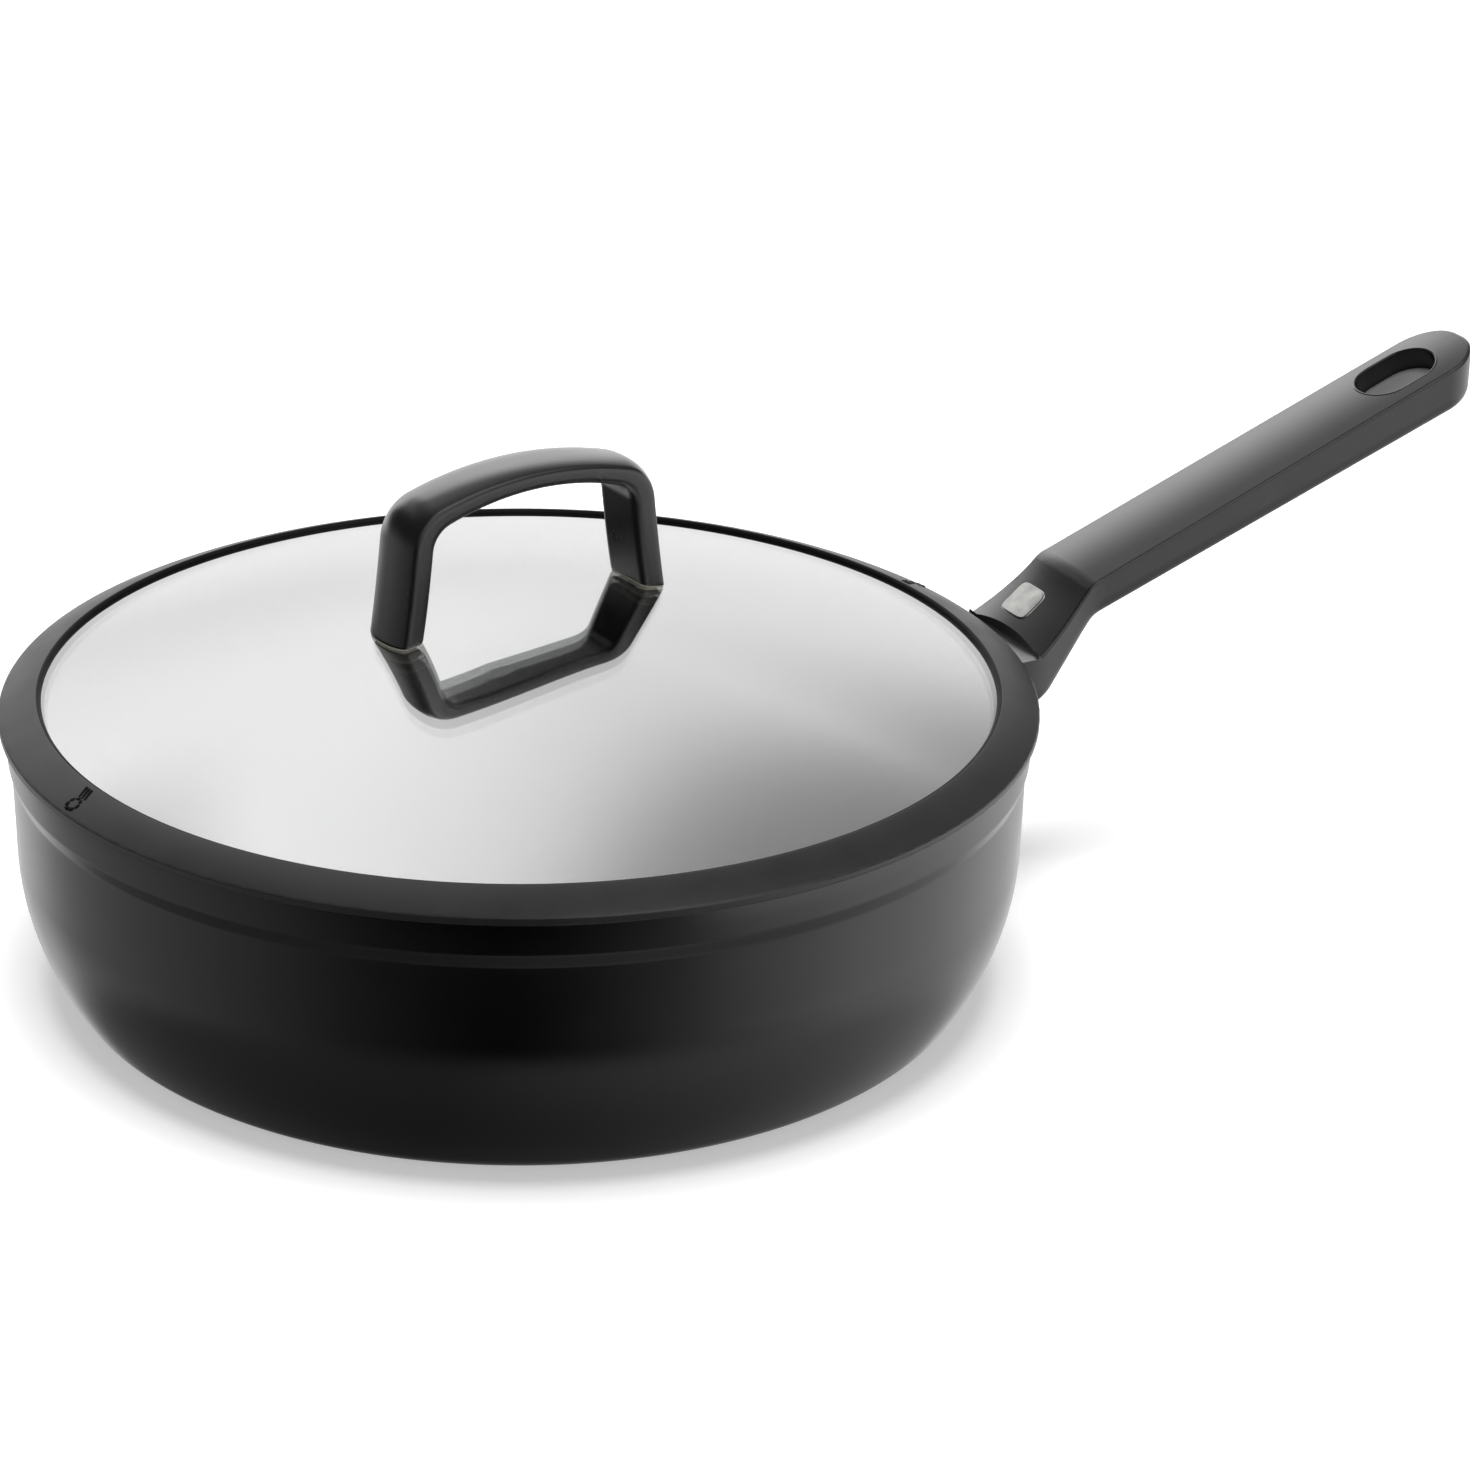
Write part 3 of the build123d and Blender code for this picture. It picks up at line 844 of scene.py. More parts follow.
def glass_rows():
    """Glass section from the top's middle round the edge to the underside's middle."""
    radius = np.linspace(0.0, GLASS_RADIUS, GLASS_STEPS)
    top = np.stack([radius, dome_height(radius)], axis=-1)
    slope = np.gradient(top[:, 1], top[:, 0])
    normal = np.stack([-slope, np.ones_like(slope)], axis=-1)
    normal /= np.linalg.norm(normal, axis=1)[:, None]
    under = top - GLASS_WALL * normal
    under = under[under[:, 0] <= GLASS_RADIUS - GLASS_EDGE_ROUND]
    under[0] = (0.0, GLASS_APEX - GLASS_WALL)
    edge_top, edge_low = top[-1, 1], float(np.interp(GLASS_RADIUS, under[:, 0], under[:, 1]))
    edge_low = edge_low + (GLASS_RADIUS - under[-1, 0]) * float(slope[-1])
    corner_top = (GLASS_RADIUS, edge_top, GLASS_EDGE_ROUND)
    corner_low = (GLASS_RADIUS, edge_low, GLASS_EDGE_ROUND)
    inner_top = top[top[:, 0] < GLASS_RADIUS - GLASS_EDGE_WIDTH]
    inner_low = under[under[:, 0] < GLASS_RADIUS - GLASS_EDGE_WIDTH][::-1]
    edge = rounded_row((tuple(inner_top[-1]), corner_top, corner_low, tuple(inner_low[0])))
    profile = np.vstack([inner_top, edge[1:-1], inner_low])
    under_start = len(inner_top) + len(edge) - 2
    return profile, (np.arange(len(profile) - 1) >= under_start).astype(int)


def side_outline(half_span, apex, crown_radius, shoulder, share):
    """Points up one leaning leg, round the shoulder and over the crown arc to the middle."""
    low_half = half_span + (ARCH_DATUM - ARCH_FOOT) * ARCH_LEAN
    lean = math.atan(ARCH_LEAN)
    centre = np.array([0.0, apex - crown_radius])
    side = np.array([math.cos(lean), math.sin(lean)])
    low = np.array([low_half, ARCH_FOOT])
    direction = np.array([-math.sin(lean), math.cos(lean)])
    reach = crown_radius - shoulder
    start = low - shoulder * side - centre
    along = -(start @ direction) + math.sqrt((start @ direction) ** 2 - start @ start + reach**2)
    round_centre = centre + start + along * direction
    crown_turn = math.atan2(*(round_centre - centre)[::-1])
    leg = low + direction * np.linspace(0.0, along, LEG_STEPS)[:, None]
    shoulder_row = arc_row(round_centre, shoulder, lean, crown_turn, SHOULDER_STEPS)
    crown_row = arc_row(centre, crown_radius, crown_turn, math.pi / 2, LEG_STEPS)
    half = np.vstack([leg, shoulder_row[1:], crown_row[1:]])
    length = np.concatenate([[0.0], np.cumsum(np.linalg.norm(np.diff(half, axis=0), axis=1))])
    stations = np.array([0.0, along, along + shoulder * (crown_turn - lean), length[-1]])
    at = np.interp(share, ARCH_KNOTS, stations)
    return np.stack([np.interp(at, length, half[:, axis]) for axis in (0, 1)], axis=-1)


def arch_section(count):
    """Loop (share from inner to outer face, place across): low crown, crisp ridge, upright
    sides."""
    reach = ARCH_HALF_WIDTH - RIDGE_INSET
    across = np.linspace(0.0, reach, 14)
    crown = np.stack([1.0 - TOP_DROP * (across / reach) ** TOP_POWER, across], axis=-1)
    side = [(share, ARCH_HALF_WIDTH - inset) for share, inset in ARCH_SIDE]
    row = np.vstack([crown, side, [(0.0, 0.0)]])
    steps = np.hypot(np.diff(row[:, 0]) * ARCH_THICKNESS, np.diff(row[:, 1]))
    length = np.concatenate([[0.0], np.cumsum(steps)])
    at = np.linspace(0.0, length[-1], count)
    share = np.interp(at, length, row[:, 0])
    across = np.interp(at, length, row[:, 1])
    share[1:-1] = (share[:-2] + 2 * share[1:-1] + share[2:]) / 4
    across[1:-1] = (across[:-2] + 2 * across[1:-1] + across[2:]) / 4
    share = np.concatenate([share, share[-2:0:-1]])
    across = np.concatenate([across, -across[-2:0:-1]])
    return share, across


def arch_grid():
    """Rows of the arch before its turn, foot to foot: inner + share (outer - inner), moved
    across."""
    along = np.linspace(-1.0, 1.0, ARCH_STEPS)
    half_share = 1.0 - np.abs(along)
    outer = side_outline(*ARCH_OUTER, half_share)
    inner = side_outline(*ARCH_INNER, half_share)
    sign = np.where(along < 0, -1.0, 1.0)
    outer[:, 0] *= sign
    inner[:, 0] *= sign
    share, across = arch_section(ARCH_COLUMNS)
    flat = inner[:, None, :] + share[None, :, None] * (outer - inner)[:, None, :]
    x = flat[..., 0]
    z = flat[..., 1]
    y = np.broadcast_to(across[None, :], x.shape)
    for end in (0, -1):
        seat = dome_height(np.hypot(x[end], y[end])) + GASKET_HEIGHT
        lift = seat - z[end]
        rows = slice(0, FOOT_ROWS) if end == 0 else slice(-1, -FOOT_ROWS - 1, -1)
        fade = (1.0 - np.linspace(0.0, 1.0, FOOT_ROWS)[:, None]) ** 2
        z[rows] += lift[None, :] * fade
    return np.stack([x, y, z], axis=-1)


def turned_with_lid(points):
    """Points turned about z by the arch's angle."""
    cos, sin = math.cos(LID_TURN), math.sin(LID_TURN)
    turn = np.array([[cos, sin, 0.0], [-sin, cos, 0.0], [0.0, 0.0, 1.0]])
    return points @ turn


def make_arch():
    """Arch handle: its grid of rows, closed by a cap at each foot, its ends bent to the dome."""
    grid = arch_grid()
    rows, columns = grid.shape[:2]
    faces = grid_faces(rows, columns) + end_caps(rows, columns)
    points = turned_with_lid(grid.reshape(-1, 3))
    return make_mesh_piece("lid_arch", points, flipped(faces), [finish("soft touch")])


def make_foot_gaskets():
    """Thin pad under each foot: the foot's outline drawn in a little, from the foot to the
    dome."""
    size, level = np.array(GASKET_ROWS).T
    grids = []
    for foot, turn in zip(arch_grid()[[0, -1]], (list, flipped)):
        middle = foot.mean(axis=0)
        x = middle[0] + size[:, None] * (foot[:, 0] - middle[0])[None, :]
        y = middle[1] + size[:, None] * (foot[:, 1] - middle[1])[None, :]
        z = dome_height(np.hypot(x, y)) + level[:, None] * GASKET_HEIGHT
        faces = grid_faces(len(size), len(foot)) + end_caps(len(size), len(foot))
        grids.append((turned_with_lid(point_rows(x, y, z)), turn(faces)))
    points, faces = join_grids(grids)
    return make_mesh_piece("foot_gaskets", points, faces, [finish("gasket")])


def pill_grid(length, width, height, around=28, levels=5):
    """Rounded bar: its outline shrinks by 1 - cos t while its height grows by sin t, with a
    skirt."""
    turn = full_turn(around) + math.pi / around
    rise = np.linspace(0.0, 0.47 * math.pi, levels)
    reach = np.concatenate([[1.0], np.cos(rise)])[:, None] * width / 2
    level = np.concatenate([[-0.6], np.sin(rise)])[:, None] * height
    half = max(0.0, (length - width) / 2)
    along = reach * np.cos(turn)[None, :] + half * np.sign(np.cos(turn))[None, :]
    across = reach * np.sin(turn)[None, :]
    faces = grid_faces(levels + 1, around) + end_caps(levels + 1, around)
    return point_rows(along, across, level), faces


def turned_in_plane(points, angle, along, across):
    """Points turned by an angle in their own plane, then moved."""
    cos, sin = math.cos(angle), math.sin(angle)
    x = points[:, 0] * cos - points[:, 1] * sin + along
    y = points[:, 0] * sin + points[:, 1] * cos + across
    return np.stack([x, y, points[:, 2]], axis=-1)


def on_band(points, azimuth):
    """Local (round, outward, proud) laid on the ring's sloping top at an angle about z."""
    slope = math.atan2(BAND_INNER[1] - BAND_OUTER[1], BAND_OUTER[0] - BAND_INNER[0])
    middle = (np.array(BAND_INNER) + np.array(BAND_OUTER)) / 2
    radius = middle[0] + points[:, 1] * math.cos(slope) + points[:, 2] * math.sin(slope)
    lift = middle[1] + BAND_SKIN
    height = lift + points[:, 2] * math.cos(slope) - points[:, 1] * math.sin(slope)
    angle = azimuth + points[:, 0] / middle[0]
    return np.stack([radius * np.cos(angle), radius * np.sin(angle), height], axis=-1)


def ring_skin_rows():
    """Section of the ring's top: lip beside the glass with painted shade, then a line plus 4 t (1
    - t) bulge.
    """
    share = np.linspace(0.0, 1.0, BAND_STEPS)
    start = np.array([BAND_INNER[0] + 0.15, BAND_INNER[1] + 0.02])
    end = np.array([BAND_OUTER[0] - 0.2, BAND_OUTER[1] + 0.05])
    top = start + share[:, None] * (end - start)
    top[:, 1] += 4.0 * BAND_SKIN * share * (1.0 - share)
    profile = np.vstack([BAND_LIP, top, BAND_UNDER])[::-1]
    place = np.arange(len(profile))
    return profile, (place < len(profile) - len(BAND_LIP) - 1).astype(int)


def make_pour_marks():
    """Two plain pictograms on the ring, one over each set of straining openings: strokes and
    dots."""
    grids = []
    for azimuth in (LID_TURN, LID_TURN + math.pi):
        for step in (-1, 0, 1):
            bar, faces = pill_grid(*MARK_STROKE, MARK_HEIGHT)
            along, across = STROKE_PLACE
            bar = turned_in_plane(bar, STROKE_TURN, STROKE_STEP * step + along, across)
            grids.append((on_band(bar, azimuth), faces))
        for turn in np.arange(DROP_COUNT) * 2 * math.pi / DROP_COUNT:
            dot, faces = pill_grid(*MARK_DROP, MARK_HEIGHT, 20)
            along = DROP_CIRCLE * math.cos(turn)
            across = DROP_PLACE + DROP_CIRCLE * math.sin(turn)
            dot = turned_in_plane(dot, turn + math.pi / 2, along, across)
            grids.append((on_band(dot, azimuth), faces))
    points, faces = join_grids(grids)
    return make_mesh_piece("pour_marks", points, flipped(faces), [finish("mark")])


def on_root_face(points, along_share):
    """Local (up the slope, across, proud) laid on the hollow, crowned rise of the long handle."""
    foot, knee = np.array(ROOT_FOOT), np.array(ROOT_KNEE)
    chord = knee - foot
    length = np.linalg.norm(chord)
    direction = chord / length
    normal = np.array([-direction[1], direction[0]])
    at = along_share * length + points[:, 0]
    hollow = -4.0 * ROOT_HOLLOW * (at / length) * (1.0 - at / length)
    crown = np.sqrt(GRIP_CROWN_RADIUS**2 - points[:, 1] ** 2) - GRIP_CROWN_RADIUS
    out = hollow + crown + points[:, 2]
    x = foot[0] + at * direction[0] + out * normal[0]
    z = foot[1] + at * direction[1] + out * normal[1]
    return np.stack([x, points[:, 1], z], axis=-1)


def make_root_inlay():
    """Blank inlay: rings of a superellipse outline, bevelled at the edge and slightly
    crowned."""
    around = INLAY_AROUND
    turn = full_turn(around)
    circle = (np.cos(turn), np.sin(turn))
    outline = [np.sign(part) * np.abs(part) ** INLAY_POWER for part in circle]
    size, level = np.array(INLAY_RINGS).T[:, :, None]
    x = size * outline[0] * INLAY_HALF[0]
    y = size * outline[1] * INLAY_HALF[1] + INLAY_OFFSET
    middle = [(0.0, INLAY_OFFSET, INLAY_TOP)]
    points = on_root_face(np.vstack([point_rows(x, y, level), middle]), INLAY_SHARE)
    rows = len(INLAY_RINGS)
    fan = fan_faces((rows - 1) * around, around, rows * around)
    faces = grid_faces(rows, around) + fan + [list(range(around))[::-1]]
    return make_mesh_piece("root_inlay", points, faces, [finish("inlay")])


def on_pocket(points):
    """Local (along, across, up) laid in the top face of the long handle at its pocket."""
    middle = (POCKET_X, ROOT_KNEE[1] + (POCKET_X - ROOT_KNEE[0]) * math.tan(GRIP_SLOPE))
    cos, sin = math.cos(GRIP_SLOPE), math.sin(GRIP_SLOPE)
    x = middle[0] + points[:, 0] * cos - points[:, 2] * sin
    z = middle[1] + points[:, 0] * sin + points[:, 2] * cos
    return np.stack([x, points[:, 1], z], axis=-1)


def make_pocket_bead():
    """Rounded bead round the pocket: a small circle carried along its oval, on the crowned
    face."""
    turn = full_turn(BEAD_AROUND)
    section = full_turn(BEAD_SECTION)[:, None]
    half = (POCKET_SIZE[0] - POCKET_SIZE[1]) / 2
    out = np.cos(section) * POCKET_BEAD + POCKET_SIZE[1] / 2 + BEAD_OUTSET
    along = out * np.cos(turn) + half * np.tanh(12.0 * np.cos(turn))
    across = out * np.sin(turn)
    crown = np.sqrt(GRIP_CROWN_RADIUS**2 - across**2) - GRIP_CROWN_RADIUS
    up = crown + np.sin(section) * POCKET_BEAD - BEAD_SINK * POCKET_BEAD
    points = on_pocket(point_rows(along, across, up))
    faces = grid_faces(BEAD_SECTION, BEAD_AROUND) + seam_faces(BEAD_SECTION, BEAD_AROUND)
    return make_mesh_piece("pocket_bead", points, faces, [finish("soft touch")])


def make_pocket_floor():
    """Floor pad of the pocket: a low rounded bar a little smaller than the pocket. Its pale shade
    is painted light.
    """
    length, width, depth = POCKET_SIZE
    pad, faces = pill_grid(length - POCKET_PLAY, width - POCKET_PLAY, PAD_HEIGHT, 64)
    pad[:, 2] -= depth
    return make_mesh_piece("pocket_floor", on_pocket(pad), faces, [finish("pocket floor")])


def plate_rows():
    """Underside disc from its top's middle to its foot's middle, its shallow grooves a clipped
    wave of the radius."""
    radius = np.linspace(0.0, PLATE_RADIUS - PLATE_EDGE, GROOVE_STEPS)
    groove = np.clip(np.cos(2.0 * math.pi * radius / GROOVE_PITCH) * 4.0 - 2.4, 0.0, 1.0)
    plain = (radius < GROOVE_MIDDLE) | (radius > PLATE_RADIUS - GROOVE_BORDER)
    foot = np.stack([radius, GROOVE_DEPTH * np.where(plain, 0.0, groove)], axis=-1)[::-1]
    rim = np.array([(PLATE_RADIUS, PLATE_HEIGHT), (PLATE_RADIUS, 0.3), (PLATE_RADIUS - 0.2, 0.05)])
    return np.vstack([[(0.0, PLATE_HEIGHT), (PLATE_RADIUS / 2, PLATE_HEIGHT)], rim, foot])


def screw_head_grid(radius, height, top):
    """Head seen from below: a rounded rim, then a cross recess sunk into the flat, by angle."""
    turn = full_turn(HEAD_AROUND)
    ring = np.array(HEAD_RINGS)[:, None] * radius
    bevel = height * HEAD_BEVEL
    edge = np.clip((ring - (radius - bevel)) / bevel, 0.0, 1.0)
    low = top - height + bevel * (1.0 - np.sqrt(1.0 - np.minimum(edge, 1.0) ** 2))
    arm = np.minimum(np.abs(ring * np.cos(turn)), np.abs(ring * np.sin(turn)))
    recess_radius = RECESS_SHARE * radius
    inside = np.clip((recess_radius * ARM_SHARE - arm) / 0.15, 0.0, 1.0)
    inside = inside * np.clip((recess_radius - ring) / 0.25, 0.0, 1.0)
    upper = turned_rows(radius, top, turn)
    points = np.vstack([upper, turned_rows(ring, low + RECESS_DEPTH * inside, turn)])
    rows = len(HEAD_RINGS) + 1
    return points, grid_faces(rows, HEAD_AROUND) + end_caps(rows, HEAD_AROUND)


def shank_grid(radius, bottom, top):
    """Upright shank with shallow thread ridges: its radius follows a wave of the height."""
    rows = max(8, int((top - bottom) / THREAD_STEP))
    height = np.linspace(bottom, top, rows)[:, None]
    turn = full_turn(SHANK_AROUND)
    phase = height / THREAD_PITCH - turn / (2.0 * math.pi)
    reach = radius - THREAD_DEPTH * (0.5 + 0.5 * np.cos(2.0 * math.pi * phase))
    faces = grid_faces(rows, SHANK_AROUND) + end_caps(rows, SHANK_AROUND)
    return turned_rows(reach, height, turn), faces


def make_screw(name, places, head, shank):
    """Screws that point up: head (radius, height, top) with a cross recess, shank (radius,
    top)."""
    grids = []
    for x, y in places:
        shift = np.array([x, y, 0.0])
        head_points, head_faces = screw_head_grid(*head)
        shank_points, shank_faces = shank_grid(shank[0], head[2] - SHANK_OVERLAP, shank[1])
        grids.append((head_points + shift, flipped(head_faces)))
        grids.append((shank_points + shift, shank_faces))
    points, faces = join_grids(grids)
    return make_mesh_piece(name, points, faces, [finish("hardware")])


# Studio

# The camera looks along +y of the studio after this turn
CAMERA_TURN = math.radians(25.7)
CAMERA_TILT = math.radians(66.52)
CAMERA_PLACE = (-0.5188, -1.0779, 0.589)
CAMERA_LENS = 113.76
CAMERA_SHIFT = 0.1471

LAMP_PLACE = (-0.02, -0.05, 1.5)
LAMP_SIZE = 1.1
LAMP_ENERGY = 29.0

# Half side of the floor, in millimetres, its shade and its own glow for the camera
FLOOR_HALF = 4000.0
FLOOR_SHADE = 0.9
FLOOR_GLOW = 0.43

# Brightness of the studio for diffuse light
PLAIN_LEVEL = 0.24

# Brightness of the studio below the horizon, by share of a full turn that starts at the camera's
# side and goes by its left, the back and its right
LOW_GLOW = (
    (0.0, 0.0),
    (0.083, 0.03),
    (0.167, 0.33),
    (0.25, 0.47),
    (0.333, 0.52),
    (0.38, 0.9),
    (0.45, 1.5),
    (0.56, 1.8),
    (0.62, 1.7),
    (0.69, 1.45),
    (0.74, 1.25),
    (0.8, 0.8),
    (0.86, 0.45),
    (0.91, 0.22),
    (0.95, 0.06),
    (1.0, 0.0),
)
# Brightness just above the horizon and high up, from the far left to the far right
SKY_LOW = (
    (0.0, 0.01),
    (0.15, 0.01),
    (0.18, 0.1),
    (0.21, 0.75),
    (0.25, 1.08),
    (0.33, 0.88),
    (0.4, 0.88),
    (0.47, 0.93),
    (0.54, 0.92),
    (0.6, 0.91),
    (0.64, 0.9),
    (0.68, 0.68),
    (0.73, 0.42),
    (0.8, 0.36),
    (0.9, 0.12),
    (1.0, 0.06),
)
SKY_HIGH = (
    (0.0, 0.01),
    (0.14, 0.01),
    (0.17, 0.1),
    (0.195, 0.8),
    (0.22, 1.35),
    (0.26, 1.1),
    (0.33, 1.06),
    (0.4, 1.06),
    (0.46, 1.0),
    (0.52, 0.96),
    (0.57, 0.88),
    (0.61, 0.8),
    (0.64, 0.66),
    (0.67, 0.42),
    (0.7, 0.29),
    (0.74, 0.22),
    (0.8, 0.28),
    (0.86, 0.4),
    (0.92, 0.15),
    (1.0, 0.1),
)
# Brightness over the camera's side, from the far left to the far right
FRONT_SKY = (
    (0.0, 0.03),
    (0.5, 0.06),
    (0.6, 0.8),
    (0.68, 4.0),
    (0.84, 3.0),
    (0.9, 0.4),
    (0.95, 0.05),
    (1.0, 0.0),
)
# Dim and bright shades of the studio: the camera's own side, its top, a band low on the right
FRONT_SHADE = (0.06,) * 3
TOP_SHADE = (1.8,) * 3
BAND_SHADE = (1.9,) * 3

# Where one part of the studio gives way to the next: range of a part of the direction (right,
# back or up), and where it isn't nought to one, the range it becomes
WIDTH = (-1.0, 1.0)
BAND_UP = (-0.48, -0.38)
BAND_RIGHT = (0.55, 0.75, 0.0, 0.5)
STEEP_UP = (-0.52, -0.64)
UNDER_RIGHT = (-0.2, 0.75, 0.2, 0.62)
UNDER_UP = (-0.65, -0.98, 1.0, 0.45)
SKY_UP = (0.12, 0.5)
FRONT_BACK = (0.3, -0.2)
TOP_RIGHT = (0.02, 0.2)
TOP_UP = (0.6, 0.9)
DUSK_UP = (0.5, 0.8, 0.0, 0.8)
DUSK_RIGHT = (-0.24, -0.42)
ZENITH_UP = (0.9, 0.99, 0.0, 0.75)
RISE_UP = (-0.06, 0.2)
# High up the sky leans: above this height it moves to the right by this share of the climb
LEAN_UP = 0.55
LEAN_SHARE = 0.75


def glow_below(tree, right, back, up):
    """Studio below the horizon: a ramp round the pan, a band low on the right, and a plain
    slope of brightness straight under."""
    turn = math_node(tree, "DIVIDE", math_node(tree, "ARCTAN2", right, back), 2 * math.pi)
    low = ramp_node(tree, math_node(tree, "ADD", turn, 0.5), LOW_GLOW, "B_SPLINE")
    band = product(tree, range_node(tree, up, *BAND_UP), range_node(tree, right, *BAND_RIGHT))
    low = mix_shades(tree, band, low, BAND_SHADE)
    beneath = range_node(tree, right, *UNDER_RIGHT)
    beneath = product(tree, beneath, range_node(tree, up, *UNDER_UP))
    return mix_shades(tree, range_node(tree, up, *STEEP_UP, smooth=True), low, beneath)


def glow_above(tree, right, back, up):
    """Studio above the horizon: two ramps from left to right, a leaning high one over a low
    one, dark at the top and on the camera's side but for a lamp to its right."""
    shallow = ramp_node(tree, range_node(tree, right, *WIDTH), SKY_LOW, "B_SPLINE")
    climb = math_node(tree, "MAXIMUM", math_node(tree, "SUBTRACT", up, LEAN_UP), 0.0)
    lean = math_node(tree, "ADD", right, product(tree, climb, LEAN_SHARE))
    high = ramp_node(tree, range_node(tree, lean, *WIDTH), SKY_HIGH, "B_SPLINE")
    sky = mix_shades(tree, range_node(tree, up, *SKY_UP, smooth=True), shallow, high)
    dusk = range_node(tree, up, *DUSK_UP, smooth=True)
    dusk = product(tree, dusk, range_node(tree, right, *DUSK_RIGHT, smooth=True))
    sky = mix_shades(tree, dusk, sky, FRONT_SHADE)
    sky = mix_shades(tree, range_node(tree, up, *ZENITH_UP, smooth=True), sky, FRONT_SHADE)
    lamp_side = ramp_node(tree, range_node(tree, right, *WIDTH), FRONT_SKY, "B_SPLINE")
    top_right = range_node(tree, right, *TOP_RIGHT, smooth=True)
    top = mix_shades(tree, top_right, FRONT_SHADE, TOP_SHADE)
    lamp_side = mix_shades(tree, range_node(tree, up, *TOP_UP, smooth=True), lamp_side, top)
    front = range_node(tree, back, *FRONT_BACK, smooth=True)
    return mix_shades(tree, front, sky, lamp_side)


def background(tree, strength=1.0):
    """White background shader of a strength."""
    node = add_node(tree, "ShaderNodeBackground")
    node.inputs["Color"].default_value = (1.0, 1.0, 1.0, 1.0)
    node.inputs["Strength"].default_value = strength
    return node


def mirrored_rays(tree, path):
    """Factor that is one for the rays that a surface has mirrored or let through."""
    glossy, through = path.outputs["Is Glossy Ray"], path.outputs["Is Transmission Ray"]
    return math_node(tree, "MAXIMUM", glossy, through)


def empty_tree(owner):
    """Node tree of a material or a world, with its nodes removed."""
    owner.use_nodes = True
    owner.node_tree.nodes.clear()
    return owner.node_tree


def studio_world():
    """White for the camera, a soft gradient for reflections and a plain level for diffuse
    light."""
    world = bpy.data.worlds.new("Soft studio")
    bpy.context.scene.world = world
    tree = empty_tree(world)
    centred = add_node(tree, "ShaderNodeVectorRotate", rotation_type="Z_AXIS")
    direction = add_node(tree, "ShaderNodeTexCoord").outputs["Generated"]
    link(tree, direction, centred.inputs["Vector"])
    centred.inputs["Angle"].default_value = CAMERA_TURN
    split = add_node(tree, "ShaderNodeSeparateXYZ")
    link(tree, centred.outputs["Vector"], split.inputs[0])
    under = glow_below(tree, *split.outputs)
    over = glow_above(tree, *split.outputs)
    rise = range_node(tree, split.outputs[2], *RISE_UP, smooth=True)
    reflect = background(tree)
    link(tree, mix_shades(tree, rise, under, over), reflect.inputs["Color"])
    path = add_node(tree, "ShaderNodeLightPath")
    plain = background(tree, PLAIN_LEVEL)
    lit = mix_shaders(tree, mirrored_rays(tree, path), plain.outputs[0], reflect.outputs[0])
    white = background(tree)
    seen = mix_shaders(tree, path.outputs["Is Camera Ray"], lit, white.outputs[0])
    output = add_node(tree, "ShaderNodeOutputWorld")
    link(tree, seen, output.inputs["Surface"])


def floor_finish():
    """Pale floor: it keeps the shadow for the camera, and lets reflections see the studio."""
    material = bpy.data.materials.new("Pale floor")
    tree = empty_tree(material)
    pale = add_node(tree, "ShaderNodeBsdfDiffuse")
    pale.inputs["Color"].default_value = (FLOOR_SHADE, FLOOR_SHADE, FLOOR_SHADE, 1.0)
    path = add_node(tree, "ShaderNodeLightPath")
    glow = add_node(tree, "ShaderNodeEmission")
    level = product(tree, path.outputs["Is Camera Ray"], FLOOR_GLOW)
    link(tree, level, glow.inputs["Strength"])
    both = add_node(tree, "ShaderNodeAddShader")
    link(tree, pale.outputs[0], both.inputs[0])
    link(tree, glow.outputs[0], both.inputs[1])
    clear = add_node(tree, "ShaderNodeBsdfTransparent")
    mixed = mix_shaders(tree, mirrored_rays(tree, path), both.outputs[0], clear.outputs[0])
    output = add_node(tree, "ShaderNodeOutputMaterial")
    link(tree, mixed, output.inputs["Surface"])
    return material


def add_lamp(scene):
    """Wide lamp over the pan, kept out of reflections."""
    data = bpy.data.lights.new("Overhead lamp", "AREA")
    data.shape = "DISK"
    data.size = LAMP_SIZE
    data.energy = LAMP_ENERGY
    lamp = bpy.data.objects.new("Overhead lamp", data)
    lamp.location = LAMP_PLACE
    lamp.visible_glossy = False
    lamp.visible_transmission = False
    scene.collection.objects.link(lamp)


def add_camera(scene):
    """Camera in front of the pan, its picture moved sideways."""
    data = bpy.data.cameras.new("Camera")
    data.sensor_width = 36.0
    data.sensor_fit = "HORIZONTAL"
    data.lens = CAMERA_LENS
    data.shift_x = CAMERA_SHIFT
    data.clip_start = 0.01
    data.clip_end = 50.0
    camera = bpy.data.objects.new("Camera", data)
    camera.location = CAMERA_PLACE
    camera.rotation_euler = (CAMERA_TILT, 0.0, -CAMERA_TURN)
    scene.collection.objects.link(camera)
    scene.camera = camera


# Operators


